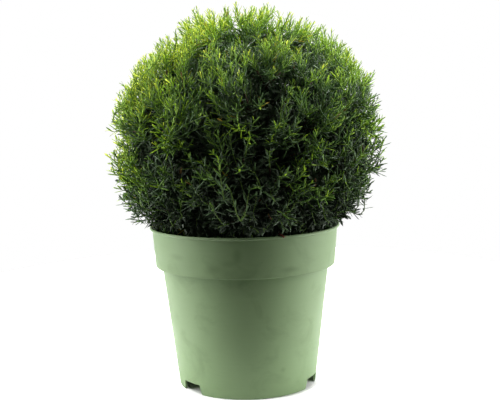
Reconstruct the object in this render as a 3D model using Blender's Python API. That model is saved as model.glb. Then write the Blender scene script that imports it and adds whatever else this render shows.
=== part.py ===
"""Potted English yew clipped to a ball.

A short trunk stands in the compost of a round nursery pot and carries its boughs in two rings.
Each bough ends at one mass of shoots, the trunk's tip carries the top one, and the masses together
make the clipped ball. Metres, +Z up, on the ground. The sizes below are measured from the pot's axis,
which stands a little left of the origin, so that the ball is over the origin.
"""
import math
import random

import bmesh
import bpy
from mathutils import Matrix, Vector, noise

MM = 0.001
UP = Vector((0.0, 0.0, 1.0))
SEED = 28
GOLDEN_ANGLE = math.pi * (3.0 - math.sqrt(5.0))
POT_AXIS = Vector((-6.3 * MM, 0.0, 0.0))

# Gap between pieces that touch
FIT = 0.3 * MM

# Pot: outer radii and heights, from the lip down
POT_HEIGHT = 234.7 * MM
LIP_RADIUS = 139 * MM
BEAD_RADIUS = 1.9 * MM
BAND_TOP_RADIUS = 135.3 * MM
BAND_FOOT_RADIUS = 131.6 * MM
BAND_FOOT_HEIGHT = 176.5 * MM
BODY_TOP_RADIUS = 121.4 * MM
BODY_TOP_HEIGHT = 170 * MM
BODY_FOOT_RADIUS = 100.8 * MM
FOOT_ROUNDING = 1.5 * MM
WALL = 2 * MM
BASE_UNDERSIDE = 16 * MM
BASE_THICKNESS = 2.4 * MM
POT_SEGMENTS = 60
BEAD_ARC = (120, -90)
BEAD_STEPS = 5
FOOT_STEPS = 2
POT_CREASE = math.radians(28)

# Three notches in the foot ring and the holes that drain the base
NOTCH_BEARINGS = (-52.2, 67.2, 187.5)
NOTCH_HEIGHT = 14.7 * MM
NOTCH_TOP_WIDTH = 36 * MM
NOTCH_FOOT_WIDTH = 43.5 * MM
DRAIN_HOLES = 6
DRAIN_RADIUS = 6 * MM
DRAIN_CIRCLE = 72 * MM
DRAIN_TURN = 15.0
DRAIN_SIDES = 12

# Compost, filled to about two fingers below the lip
COMPOST_TOP = 207 * MM
COMPOST_LUMP = 2.2 * MM
COMPOST_LUMP_PITCH = 18 * MM
COMPOST_SEGMENTS = 32
COMPOST_RINGS = (0.45, 0.7, 0.9)
COMPOST_GAP = 2 * FIT
COMPOST_CREASE = math.radians(40)
TRUNK_SEAT_RADIUS = 24 * MM

# Clipped ball
BALL_CENTRE = Vector((6.3 * MM, 0.0, 349.3 * MM))
BALL_RADIUS = 201 * MM
OUTLINE_SPREAD = 11 * MM
STRAY_REACH = 7 * MM
NEEDLE_REACH = 212 * MM
UNDERSIDE_HEIGHT = 238 * MM
UNDERSIDE_RISE = 0.16
MOUTH_RADIUS = 127 * MM
MOUTH_FLOOR = 220 * MM

# Solid core of each mass, and the open heart that the boughs run through
CORE_RADIUS = 172 * MM
CORE_CLEARANCE = 3 * MM
CORE_LUMP = 4 * MM
CORE_LUMPS_ACROSS = 5.0
CORE_FINENESS = 3
HEART_RADIUS = 112 * MM
HEART_THROAT = 62 * MM
HEART_FLOOR = 187 * MM
HEART_STEPS = 10
HEART_SEGMENTS = 28
CELL_GAP = 1.2 * MM

# Masses: the ring's name, how many share it, its elevation and its first bearing in degrees
RINGS = (
    ("top", 1, 90.0, 0.0),
    ("upper", 5, 25.0, 18.0),
    ("lower", 6, -20.0, 0.0),
)

# Trunk
TRUNK_RADIUS = 11 * MM
TRUNK_TIP_RADIUS = 4.2 * MM
TRUNK_TIP_HEIGHT = 438 * MM
TRUNK_LEAN = Vector((3 * MM, -2 * MM, 0.0))
TRUNK_SWAY = Vector((2.5 * MM, -1.5 * MM, 0.0))
TRUNK_RINGS = 11
TRUNK_RING_SPACING = 1.35
TRUNK_SIDES = 10
TRUNK_TIP_RUN = 5 * MM
FLARE_HEIGHT = 16 * MM
FLARE_REACH = 0.75
FLARE_ROOTS = 5
FLARE_LOBE = 0.4
FLARE_TURN = 0.7
BARK_CREASE = math.radians(50)

# Boughs
BOUGH_TIP_REACH = 88 * MM
BOUGH_RADIUS = 4.6 * MM
BOUGH_TIP_RADIUS = 2.9 * MM
BOUGH_FOOT = {"upper": 300 * MM, "lower": 238 * MM}
BOUGH_STAGGER = 11 * MM
BOUGH_RISE = {"upper": 0.9, "lower": 0.75}
BOUGH_START_PULL = 0.35
BOUGH_END_PULL = 0.3
BOUGH_TIP_LIFT = 0.25
BOUGH_POINTS = 5
BOUGH_SIDES = 6
STRAIGHT_RUN = 4 * MM

# Twigs and shoots of a mass
STEM_FORK_REACH = 120 * MM
STEM_PULL = 8 * MM
STEM_POINTS = 4
STEM_SIDES = 6
TWIG_REACH = 142 * MM
TWIG_SPREAD = math.radians(14)
TWIGS_ROUND = 5
TWIG_SINK = math.radians(5)
TWIG_RADIUS = 1.9 * MM
TWIG_ROOT_DEPTH = 4 * MM
TWIG_START_PULL = 0.35
TWIG_END_PULL = 8 * MM
TWIG_POINTS = 4
TWIG_SIDES = 3
SHOOTS_ON_SPHERE = 330
SHOOT_JITTER = math.radians(3.0)
STRAY_SHARE = 0.2
SHORTEST_REACH = 150 * MM
SHORTEST_SHOOT = 18 * MM
SHOOT_BEND = -1 * MM
ROOT_DEPTH = 10 * MM
SHOOT_RADIUS = 1.5 * MM
SHOOT_TIP_RADIUS = 0.6 * MM
SHOOT_START_PULL = 18 * MM
SHOOT_END_PULL = 16 * MM
SHOOT_LIFT = 0.35
SHOOT_POINTS = 9

# Needles of a shoot, drawn as broad spikes
NEEDLE_LENGTH = 20 * MM
NEEDLE_ANGLE = math.radians(56)
TUFT_LENGTH = 15 * MM
TUFT_ANGLE = math.radians(34)
TIER_TWIST = math.radians(50)
NEEDLE_SHORTEST = 0.85
NEEDLE_VARIATION = 0.3
NEEDLE_TRIES = (1.0, 0.8, 0.6)


def material(name, colour, roughness):
    """Return a plain Principled material."""
    made = bpy.data.materials.new(name)
    made.use_nodes = True
    shader = made.node_tree.nodes["Principled BSDF"]
    shader.inputs["Base Color"].default_value = (*colour, 1.0)
    shader.inputs["Roughness"].default_value = roughness
    shader.inputs["Metallic"].default_value = 0.0
    made.diffuse_color = (*colour, 1.0)
    return made


def add_object(name, mesh, finish=None, collection=None):
    """Link a mesh to the scene as an object of the given name."""
    thing = bpy.data.objects.new(name, mesh)
    if finish is not None:
        mesh.materials.append(finish)
    (collection or bpy.context.scene.collection).objects.link(thing)
    return thing


def mesh_from(name, bm):
    """Turn a bmesh into a mesh whose faces point outwards."""
    bmesh.ops.recalc_face_normals(bm, faces=bm.faces)
    mesh = bpy.data.meshes.new(name)
    bm.to_mesh(mesh)
    bm.free()
    return mesh


def guide(thing):
    """Mark an object as a cutter or guide, which is no part of the plant."""
    thing.hide_render = True
    thing.display_type = "WIRE"
    return thing


def cut(thing, cutters, operation="DIFFERENCE"):
    """Apply one Boolean for each cutter to an object."""
    for cutter in cutters:
        boolean = thing.modifiers.new("cut", "BOOLEAN")
        boolean.object = cutter
        boolean.operation = operation
        boolean.solver = "EXACT"
    apply_modifiers(thing)


def apply_modifiers(thing):
    """Bake an object's modifiers into its mesh."""
    graph = bpy.context.evaluated_depsgraph_get()
    baked = bpy.data.meshes.new_from_object(thing.evaluated_get(graph))
    thing.modifiers.clear()
    thing.data = baked


def remove(things):
    """Delete helper objects."""
    for thing in list(things):
        bpy.data.objects.remove(thing, do_unlink=True)


def direction(bearing, elevation):
    """Unit vector: bearing 0 faces the front (-Y), 90 the right (+X)."""
    flat = math.cos(elevation)
    return Vector((flat * math.sin(bearing), -flat * math.cos(bearing), math.sin(elevation)))


# Turned shapes

def arc(centre_r, centre_z, radius, start, end, steps):
    """Points of an arc in the profile plane, angles in degrees from outwards to up."""
    points = []
    for step in range(steps + 1):
        angle = math.radians(start + (end - start) * step / steps)
        points.append((centre_r + radius * math.cos(angle), centre_z + radius * math.sin(angle)))
    return points


def turned(name, profile, segments):
    """Turn a profile, which runs down its outer side, about the Z axis with a Screw modifier."""
    bm = bmesh.new()
    corners = [bm.verts.new((r, 0.0, z)) for r, z in profile]
    for first, second in zip(corners, corners[1:]):
        bm.edges.new((first, second))
    mesh = bpy.data.meshes.new(name)
    bm.to_mesh(mesh)
    bm.free()
    thing = add_object(name, mesh)
    screw = thing.modifiers.new("turn", "SCREW")
    screw.steps = segments
    screw.render_steps = segments
    screw.use_merge_vertices = True
    screw.merge_threshold = 0.01 * MM
    apply_modifiers(thing)
    return thing


def body_radius(height):
    """Outer radius of the pot's tapering body."""
    slope = (BODY_TOP_RADIUS - BODY_FOOT_RADIUS) / BODY_TOP_HEIGHT
    return BODY_FOOT_RADIUS + slope * height


def inner_radius(height):
    """Inner radius of the pot's wall, which follows the step of the band."""
    if height <= BODY_TOP_HEIGHT:
        return body_radius(height) - WALL
    if height >= BAND_FOOT_HEIGHT:
        slope = (BAND_TOP_RADIUS - BAND_FOOT_RADIUS) / (POT_HEIGHT - BAND_FOOT_HEIGHT)
        return BAND_FOOT_RADIUS + slope * (height - BAND_FOOT_HEIGHT) - WALL
    share = (height - BODY_TOP_HEIGHT) / (BAND_FOOT_HEIGHT - BODY_TOP_HEIGHT)
    return BODY_TOP_RADIUS + share * (BAND_FOOT_RADIUS - BODY_TOP_RADIUS) - WALL


def pot_profile():
    """Closed wall of the pot: base, inner wall, lip bead, band, body, foot ring and underside."""
    base_top = BASE_UNDERSIDE + BASE_THICKNESS
    bead_r = LIP_RADIUS - BEAD_RADIUS
    bead_z = POT_HEIGHT - BEAD_RADIUS
    under_bead = bead_z - BEAD_RADIUS
    profile = [
        (0.0, base_top),
        (inner_radius(base_top), base_top),
        (inner_radius(BODY_TOP_HEIGHT), BODY_TOP_HEIGHT),
        (inner_radius(BAND_FOOT_HEIGHT), BAND_FOOT_HEIGHT),
        (inner_radius(bead_z), bead_z),
    ]
    profile += arc(bead_r, bead_z, BEAD_RADIUS, *BEAD_ARC, BEAD_STEPS)
    profile += [
        (BAND_TOP_RADIUS, under_bead),
        (BAND_FOOT_RADIUS, BAND_FOOT_HEIGHT),
        (BODY_TOP_RADIUS, BODY_TOP_HEIGHT),
    ]
    foot_r = BODY_FOOT_RADIUS - FOOT_ROUNDING
    profile += arc(foot_r, FOOT_ROUNDING, FOOT_ROUNDING, 0, -90, FOOT_STEPS)
    profile += [
        (foot_r - WALL, 0.0),
        (body_radius(BASE_UNDERSIDE) - FOOT_ROUNDING - WALL, BASE_UNDERSIDE),
        (0.0, BASE_UNDERSIDE),
    ]
    return profile


def notch_cutter(bearing):
    """A wedge through the foot ring, wider at the ground than at its top."""
    outward = direction(math.radians(bearing), 0.0)
    across = UP.cross(outward)
    corners = []
    for reach in (BODY_FOOT_RADIUS - 10 * WALL, BODY_FOOT_RADIUS + 10 * WALL):
        for side in (-0.5, 0.5):
            corners.append(outward * reach + across * side * NOTCH_FOOT_WIDTH - UP * WALL)
            corners.append(outward * reach + across * side * NOTCH_TOP_WIDTH + UP * NOTCH_HEIGHT)
    bm = bmesh.new()
    hull = bmesh.ops.convex_hull(bm, input=[bm.verts.new(corner) for corner in corners])
    bmesh.ops.delete(bm, geom=hull["geom_interior"], context="VERTS")
    return guide(add_object("notch", mesh_from("notch", bm)))


def drain_cutter(bearing):
    """An upright pin through the base."""
    centre = direction(math.radians(bearing), 0.0) * DRAIN_CIRCLE
    bm = bmesh.new()
    bmesh.ops.create_cone(
        bm, cap_ends=True, segments=DRAIN_SIDES, radius1=DRAIN_RADIUS, radius2=DRAIN_RADIUS,
        depth=4 * BASE_THICKNESS,
    )
    bmesh.ops.translate(bm, verts=bm.verts, vec=centre + UP * BASE_UNDERSIDE)
    return guide(add_object("drain", mesh_from("drain", bm)))


def build_pot(finish):
    """Nursery pot with a rolled lip, a deep band, a tapering body and a notched foot ring."""
    pot = turned("pot", pot_profile(), POT_SEGMENTS)
    cutters = [notch_cutter(bearing) for bearing in NOTCH_BEARINGS]
    cutters += [drain_cutter(360.0 * hole / DRAIN_HOLES + DRAIN_TURN) for hole in range(DRAIN_HOLES)]
    cut(pot, cutters)
    remove(cutters)
    pot.data.materials.clear()
    pot.data.materials.append(finish)
    pot.data.shade_smooth()
    pot.data.set_sharp_from_angle(angle=POT_CREASE)
    return pot


def build_compost(finish):
    """Compost that fills the pot to just under its lip, lumpy on top, flat round the trunk."""
    foot = BASE_UNDERSIDE + BASE_THICKNESS + FIT
    profile = [(0.0, COMPOST_TOP), (TRUNK_SEAT_RADIUS, COMPOST_TOP)]
    rim = inner_radius(COMPOST_TOP) - COMPOST_GAP
    for share in COMPOST_RINGS:
        profile.append((TRUNK_SEAT_RADIUS + share * (rim - TRUNK_SEAT_RADIUS), COMPOST_TOP))
    profile.append((rim, COMPOST_TOP - COMPOST_LUMP))
    for height in (BAND_FOOT_HEIGHT, BODY_TOP_HEIGHT, foot):
        profile.append((inner_radius(height) - COMPOST_GAP, height))
    profile.append((0.0, foot))
    compost = turned("compost", profile, COMPOST_SEGMENTS)
    for corner in compost.data.vertices:
        reach = math.hypot(corner.co.x, corner.co.y)
        if corner.co.z > COMPOST_TOP - MM and reach > TRUNK_SEAT_RADIUS + MM:
            corner.co.z += COMPOST_LUMP * noise.noise(corner.co / COMPOST_LUMP_PITCH)
    compost.data.materials.clear()
    compost.data.materials.append(finish)
    compost.data.shade_smooth()
    compost.data.set_sharp_from_angle(angle=COMPOST_CREASE)
    return compost


# Limbs

def bezier(start, start_pull, end, end_pull, count):
    """Evenly stepped points of a cubic curve."""
    points = []
    for step in range(count):
        t = step / (count - 1)
        s = 1.0 - t
        points.append(
            s ** 3 * start
            + 3 * s * s * t * (start + start_pull)
            + 3 * s * t * t * (end - end_pull)
            + t ** 3 * end
        )
    return points


def straight_end(path, way, first=False):
    """Lengthen a path by a short straight run along a direction, so that its cap faces squarely."""
    if first:
        return [path[0] - way * STRAIGHT_RUN] + path
    return path + [path[-1] + way * STRAIGHT_RUN]


def frames(path):
    """Two crosswise unit vectors at each point of a path, carried along without a twist."""
    made = []
    side = None
    for index, point in enumerate(path):
        before = path[max(index - 1, 0)]
        after = path[min(index + 1, len(path) - 1)]
        along = (after - before).normalized()
        if side is None:
            side = along.orthogonal()
        side = (side - along * side.dot(along)).normalized()
        made.append((side.copy(), along.cross(side)))
    return made


def limb_bmesh(path, radii, sides, swell=None):
    """Closed tapering limb: a ring of corners at each point of the path and a flat cap at each end."""
    bm = bmesh.new()
    rings = []
    for index, ((side, other), centre) in enumerate(zip(frames(path), path)):
        ring = []
        for corner in range(sides):
            angle = math.tau * corner / sides
            radius = radii[index]
            if swell is not None:
                radius *= swell(index, angle)
            ring.append(bm.verts.new(
                centre + radius * (math.cos(angle) * side + math.sin(angle) * other)))
        rings.append(ring)
    for lower, upper in zip(rings, rings[1:]):
        for corner in range(sides):
            following = (corner + 1) % sides
            bm.faces.new((lower[corner], lower[following], upper[following], upper[corner]))
    bm.faces.new(list(reversed(rings[0])))
    bm.faces.new(rings[-1])
    return bm


def tapered(start, end, count):
    """Radii that fall evenly from start to end."""
    return [start + (end - start) * step / (count - 1) for step in range(count)]


def trunk_axis(height):
    """Centre of the trunk at a height: it leans a little and sways once."""
    share = (height - COMPOST_TOP) / (TRUNK_TIP_HEIGHT - COMPOST_TOP)
    return UP * height + TRUNK_SWAY * math.sin(math.tau * share) + TRUNK_LEAN * share


def trunk_radius(height):
    """Radius of the trunk at a height, without its root flare."""
    share = (height - COMPOST_TOP) / (TRUNK_TIP_HEIGHT - COMPOST_TOP)
    return TRUNK_RADIUS + (TRUNK_TIP_RADIUS - TRUNK_RADIUS) * share


def trunk_bmesh(extra=0.0):
    """Trunk from its flat cut on the compost to its tip, with a flare of low roots at the foot."""
    foot = COMPOST_TOP + FIT
    heights = []
    for ring in range(TRUNK_RINGS):
        share = ring / (TRUNK_RINGS - 1)
        heights.append(foot + (TRUNK_TIP_HEIGHT - foot) * share ** TRUNK_RING_SPACING)
    path = [trunk_axis(height) for height in heights]
    radii = [trunk_radius(height) + extra for height in heights]

    def flare(index, angle):
        low = max(0.0, 1.0 - (heights[index] - foot) / FLARE_HEIGHT)
        lobe = 1.0 - FLARE_LOBE + FLARE_LOBE * math.cos(FLARE_ROOTS * angle + FLARE_TURN)
        return 1.0 + FLARE_REACH * low * low * lobe

    bm = limb_bmesh(path, radii, TRUNK_SIDES, flare)
    bm.verts.ensure_lookup_table()
    for corner in bm.verts[:TRUNK_SIDES]:
        corner.co.z = foot
    return bm


def build_trunk(finish):
    """Trunk as one tapering, leaning limb."""
    trunk = add_object("trunk", mesh_from("trunk", trunk_bmesh()), finish)
    trunk.data.shade_smooth()
    trunk.data.set_sharp_from_angle(angle=BARK_CREASE)
    return trunk


# Masses and the space of each

class Mass:
    """One mass of foliage: its name, its place in the ball and the planes that bound its space."""

    def __init__(self, ring, number, count, bearing, elevation):
        self.ring = ring
        self.number = number
        self.suffix = ring if count == 1 else f"{ring}_{number}"
        self.axis = direction(math.radians(bearing), math.radians(elevation))
        self.planes = []

    def tip_of_limb(self):
        """Where the bough, or the trunk, hands over to this mass, and the way it points there."""
        if self.ring == "top":
            tip = trunk_axis(TRUNK_TIP_HEIGHT)
            return tip, (tip - trunk_axis(TRUNK_TIP_HEIGHT - TRUNK_TIP_RUN)).normalized()
        way = (self.axis + BOUGH_TIP_LIFT * UP).normalized()
        return BALL_CENTRE + self.axis * BOUGH_TIP_REACH, way

    def holds(self, point, margin=0.0):
        """Say whether a point lies in this mass's space."""
        offset = point - BALL_CENTRE
        return all(offset.dot(normal) <= -margin for normal in self.planes)


def plan_masses():
    """List the masses, ring by ring, with the planes half-way between neighbours."""
    masses = []
    for ring, count, elevation, first in RINGS:
        for number in range(count):
            bearing = first + 360.0 * number / count
            masses.append(Mass(ring, number + 1, count, bearing, elevation))
    for mass in masses:
        for other in masses:
            if other is not mass:
                mass.planes.append((other.axis - mass.axis).normalized())
    return masses


def underside(reach):
    """Lowest height that foliage comes down to at a distance from the pot's axis."""
    if reach < MOUTH_RADIUS:
        return MOUTH_FLOOR
    return UNDERSIDE_HEIGHT + UNDERSIDE_RISE * (reach - MOUTH_RADIUS)


def clear_below(point, clearance=0.0):
    """Say whether a point is above the ball's flat underside, or inside the pot's mouth."""
    return point.z > underside(math.hypot(point.x, point.y)) + clearance


def outline_radius(outward, radius=BALL_RADIUS, clearance=0.0):
    """A ball's radius in a direction, less where the underside cuts it short."""
    reach = radius
    while reach > HEART_RADIUS / 2 and not clear_below(BALL_CENTRE + outward * reach, clearance):
        reach -= MM
    return reach


def build_ball():
    """Guide: the lumpy ball that the cores are cut from."""
    bm = bmesh.new()
    bmesh.ops.create_icosphere(bm, subdivisions=CORE_FINENESS, radius=1.0)
    for corner in bm.verts:
        outward = corner.co.normalized()
        lump = CORE_LUMP * noise.noise(outward * CORE_LUMPS_ACROSS)
        reach = outline_radius(outward, CORE_RADIUS + lump, CORE_CLEARANCE)
        corner.co = BALL_CENTRE + outward * reach
    return guide(add_object("ball", mesh_from("ball", bm)))


def build_heart():
    """Guide: the open middle of the ball, with a throat down to the compost."""
    low = -math.degrees(math.acos(HEART_THROAT / HEART_RADIUS))
    profile = arc(0.0, BALL_CENTRE.z, HEART_RADIUS, 90, low, HEART_STEPS)
    profile[0] = (0.0, profile[0][1])
    profile += [(HEART_THROAT, HEART_FLOOR), (0.0, HEART_FLOOR)]
    heart = turned("heart", profile, HEART_SEGMENTS)
    heart.data.transform(Matrix.Translation((BALL_CENTRE.x, BALL_CENTRE.y, 0.0)))
    return guide(heart)


def build_cell(mass):
    """The wedge of space that one mass keeps to, as a closed convex solid."""
    bm = bmesh.new()
    bmesh.ops.create_cube(bm, size=4 * BALL_RADIUS)
    bmesh.ops.translate(bm, verts=bm.verts, vec=BALL_CENTRE)
    for normal in mass.planes:
        place = BALL_CENTRE - normal * CELL_GAP / 2
        everything = bm.verts[:] + bm.edges[:] + bm.faces[:]
        cut_edges = bmesh.ops.bisect_plane(
            bm, geom=everything, plane_co=place, plane_no=normal, clear_outer=True)["geom_cut"]
        edges = [item for item in cut_edges if isinstance(item, bmesh.types.BMEdge)]
        if edges:
            bmesh.ops.contextual_create(bm, geom=edges)
    return add_object("mass_" + mass.suffix, mesh_from("cell", bm))


# Growth rule of the twigs

def around(axis, angle, turn):
    """The direction at an angle from an axis, turned about it."""
    side = axis.cross(UP)
    if side.length < 0.1:
        side = Vector((1.0, 0.0, 0.0))
    side.normalize()
    other = side.cross(axis)
    return math.cos(angle) * axis + math.sin(angle) * (math.cos(turn) * side + math.sin(turn) * other)


def shoot_tips(mass):
    """Seeded tips of a mass's shoots, from a golden spiral spread over the whole ball."""
    rng = random.Random(SEED)
    tips = []
    for index in range(SHOOTS_ON_SPHERE):
        height = 1.0 - 2.0 * (index + 0.5) / SHOOTS_ON_SPHERE
        outward = direction(GOLDEN_ANGLE * index, math.asin(height))
        outward = around(outward, SHOOT_JITTER * rng.random(), math.tau * rng.random())
        reach = outline_radius(outward) - OUTLINE_SPREAD * rng.random()
        if rng.random() < STRAY_SHARE:
            reach += STRAY_REACH * rng.random()
        tip = BALL_CENTRE + outward * reach
        if mass.holds(tip, CELL_GAP) and clear_below(tip) and reach > SHORTEST_REACH:
            tips.append(tip)
    return tips


def grow(mass):
    """Branch a mass: its stem, the twigs that fan out of it and the shoots that leave each twig."""
    foot, way = mass.tip_of_limb()
    foot = foot + way * FIT
    fork = BALL_CENTRE + mass.axis * STEM_FORK_REACH
    stem = bezier(foot + way * STRAIGHT_RUN, way * STEM_PULL, fork, mass.axis * STEM_PULL, STEM_POINTS)
    stem = straight_end(stem, way, first=True)
    heads = [mass.axis]
    for number in range(TWIGS_ROUND):
        heads.append(around(mass.axis, TWIG_SPREAD, math.tau * number / TWIGS_ROUND))
    twigs = []
    for head in heads:
        lowered = (head - math.tan(TWIG_SINK) * UP).normalized()
        root = fork - mass.axis * TWIG_ROOT_DEPTH
        root_pull = (fork - foot) * TWIG_START_PULL
        end = BALL_CENTRE + lowered * TWIG_REACH
        twigs.append(bezier(root, root_pull, end, lowered * TWIG_END_PULL, TWIG_POINTS))
    shoots = []
    for tip in shoot_tips(mass):
        outward = (tip - BALL_CENTRE).normalized()
        nearest = max(range(len(heads)), key=lambda n: heads[n].dot(outward))
        root = twigs[nearest][-1]
        root_pull = (root - BALL_CENTRE).normalized() * SHOOT_START_PULL
        tip_pull = (outward + SHOOT_LIFT * UP).normalized() * SHOOT_END_PULL
        shoots.append(bezier(root, root_pull, tip, tip_pull, SHOOT_POINTS))
    return stem, twigs, shoots


def spray_bmesh(mass, path, roll, rng):
    """A slim three-sided shoot that tapers to a point, with a spike of needles on each upper face."""
    bm = bmesh.new()
    rings = []
    for index, (side, other) in enumerate(frames(path)[:-1]):
        radius = SHOOT_RADIUS + (SHOOT_TIP_RADIUS - SHOOT_RADIUS) * index / (len(path) - 1)
        ring = []
        for corner in range(3):
            angle = roll + TIER_TWIST * index + math.tau * corner / 3
            outward = math.cos(angle) * side + math.sin(angle) * other
            ring.append(bm.verts.new(path[index] + radius * outward))
        rings.append(ring)
    tip = bm.verts.new(path[-1])
    bm.faces.new(list(reversed(rings[0])))
    for tier, lower in enumerate(rings):
        for corner in range(3):
            following = (corner + 1) % 3
            if tier == len(rings) - 1:
                roots = [(lower[corner], lower[following], tip)]
            else:
                upper = rings[tier + 1]
                roots = [
                    (lower[corner], lower[following], upper[corner]),
                    (lower[following], upper[following], upper[corner]),
                ]
            for root in roots:
                apex = needle_apex(mass, root, path, tier, rng) if tier > 0 else None
                if apex is None:
                    bm.faces.new(root)
                    continue
                point = bm.verts.new(apex)
                for first, second in zip(root, root[1:] + root[:1]):
                    bm.faces.new((first, second, point))
    return bm


def needle_apex(mass, root, path, tier, rng):
    """Tip of the spike on one face of a shoot, or None where it would leave the mass's space."""
    middle = sum((corner.co for corner in root), Vector()) / len(root)
    along = (path[tier + 1] - path[tier]).normalized()
    out = middle - path[tier]
    out = (out - along * out.dot(along)).normalized()
    tuft = tier == len(path) - 2
    angle = TUFT_ANGLE if tuft else NEEDLE_ANGLE
    length = (TUFT_LENGTH if tuft else NEEDLE_LENGTH) * (NEEDLE_SHORTEST + NEEDLE_VARIATION * rng.random())
    for share in NEEDLE_TRIES:
        apex = middle + (out * math.sin(angle) + along * math.cos(angle)) * length * share
        inside = mass.holds(apex, CELL_GAP) and clear_below(apex)
        if inside and (apex - BALL_CENTRE).length < NEEDLE_REACH:
            return apex
    return None


def outside_core(point):
    """Say whether a point lies outside the plain core."""
    offset = point - BALL_CENTRE
    return offset.length > outline_radius(offset.normalized(), CORE_RADIUS, CORE_CLEARANCE)


def standing_part(shoot):
    """The part of a shoot that stands out of the core: a sunk root, its foot, its middle and tip."""
    outside = [index for index, point in enumerate(shoot) if outside_core(point)]
    if not outside or outside[0] == 0:
        return []
    foot = shoot[outside[0]]
    way = (shoot[-1] - foot).normalized()
    if (shoot[-1] - foot).length < SHORTEST_SHOOT:
        foot = shoot[-1] - way * SHORTEST_SHOOT
    return [foot - way * ROOT_DEPTH, foot, (foot + shoot[-1]) / 2 + UP * SHOOT_BEND, shoot[-1]]


def build_mass(mass, ball, heart, finish):
    """One mass: its share of the core with stem, twigs and shoots fused on."""
    core = build_cell(mass)
    cut(core, [ball], "INTERSECT")
    cut(core, [heart])
    stem, twigs, shoots = grow(mass)
    rng = random.Random(SEED + mass.number)
    parts = bpy.data.collections.new("growth")
    bpy.context.scene.collection.children.link(parts)
    grown = [limb_bmesh(stem, tapered(BOUGH_TIP_RADIUS, TWIG_RADIUS, len(stem)), STEM_SIDES)]
    for twig in twigs:
        grown.append(limb_bmesh(twig, tapered(TWIG_RADIUS, SHOOT_RADIUS, len(twig)), TWIG_SIDES))
    for shoot in shoots:
        path = standing_part(shoot)
        if path and all(mass.holds(point, CELL_GAP + SHOOT_RADIUS) for point in path):
            grown.append(spray_bmesh(mass, path, math.tau * rng.random(), rng))
    for bm in grown:
        add_object("growth", mesh_from("growth", bm), collection=parts)
    union = core.modifiers.new("fuse", "BOOLEAN")
    union.operand_type = "COLLECTION"
    union.collection = parts
    union.operation = "UNION"
    union.solver = "MANIFOLD"
    apply_modifiers(core)
    remove(parts.objects)
    bpy.data.collections.remove(parts)
    keep_largest(core.data)
    core.data.materials.clear()
    core.data.materials.append(finish)
    return core


def keep_largest(mesh):
    """Drop loose scraps and fill sealed hollows: only the largest shell stays."""
    bm = bmesh.new()
    bm.from_mesh(mesh)
    waiting = set(bm.faces)
    shells = []
    while waiting:
        reached = {waiting.pop()}
        frontier = list(reached)
        while frontier:
            face = frontier.pop()
            for side in face.edges:
                for neighbour in side.link_faces:
                    if neighbour in waiting:
                        waiting.discard(neighbour)
                        reached.add(neighbour)
                        frontier.append(neighbour)
        shells.append(reached)
    shells.sort(key=len)
    for shell in shells[:-1]:
        bmesh.ops.delete(bm, geom=list(shell), context="FACES")
    loose = [corner for corner in bm.verts if not corner.link_faces]
    bmesh.ops.delete(bm, geom=loose, context="VERTS")
    bmesh.ops.triangulate(bm, faces=bm.faces)
    bm.to_mesh(mesh)
    bm.free()


def build_bough(mass, finish, trunk_guide):
    """One bough, from its saddle on the trunk to the flat end that its mass's stem meets."""
    tip, way = mass.tip_of_limb()
    height = BOUGH_FOOT[mass.ring] + BOUGH_STAGGER * ((mass.number * 2) % 3)
    foot = trunk_axis(height)
    flat = Vector((tip.x - foot.x, tip.y - foot.y, 0.0)).normalized()
    start_way = (flat + BOUGH_RISE[mass.ring] * UP).normalized()
    length = (tip - foot).length
    start_pull = start_way * length * BOUGH_START_PULL
    end_pull = way * length * BOUGH_END_PULL
    path = bezier(foot, start_pull, tip - way * STRAIGHT_RUN, end_pull, BOUGH_POINTS)
    path = straight_end(path, way)
    radii = tapered(BOUGH_RADIUS, BOUGH_TIP_RADIUS, len(path))
    name = "bough_" + mass.suffix
    bough = add_object(name, mesh_from(name, limb_bmesh(path, radii, BOUGH_SIDES)))
    cut(bough, [trunk_guide])
    keep_largest(bough.data)
    bough.data.materials.clear()
    bough.data.materials.append(finish)
    bough.data.shade_smooth()
    bough.data.set_sharp_from_angle(angle=BARK_CREASE)
    return bough


def main():
    """Build the whole potted plant."""
    remove(bpy.data.objects)
    plastic = material("pot_plastic", (0.27, 0.37, 0.20), 0.45)
    peat = material("compost_peat", (0.035, 0.022, 0.014), 0.95)
    bark = material("bark", (0.16, 0.085, 0.05), 0.85)
    needles = material("needles", (0.055, 0.12, 0.03), 0.45)
    build_pot(plastic)
    build_compost(peat)
    build_trunk(bark)
    masses = plan_masses()
    trunk_guide = guide(add_object("trunk_room", mesh_from("trunk_room", trunk_bmesh(FIT))))
    ball = build_ball()
    heart = build_heart()
    for mass in masses:
        if mass.ring != "top":
            build_bough(mass, bark, trunk_guide)
        build_mass(mass, ball, heart, needles)
    remove([trunk_guide, ball, heart])
    for thing in bpy.data.objects:
        thing.data.transform(Matrix.Translation(POT_AXIS))


main()
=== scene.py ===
"""Finish of the potted English yew ball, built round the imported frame.

The pot is turned again with a fine lip and notched foot, the compost gets its crumbs, the trunk and
boughs become one barked mesh, and each mass of the ball is grown again by the source's rule: stem,
twigs and leading shoots where the solids have them, then side shoots and needles within that reach.
"""

import logging
import math
import random
from dataclasses import dataclass
from enum import Enum

import bpy
import numpy as np
from mathutils import Matrix, Vector, noise


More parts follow.
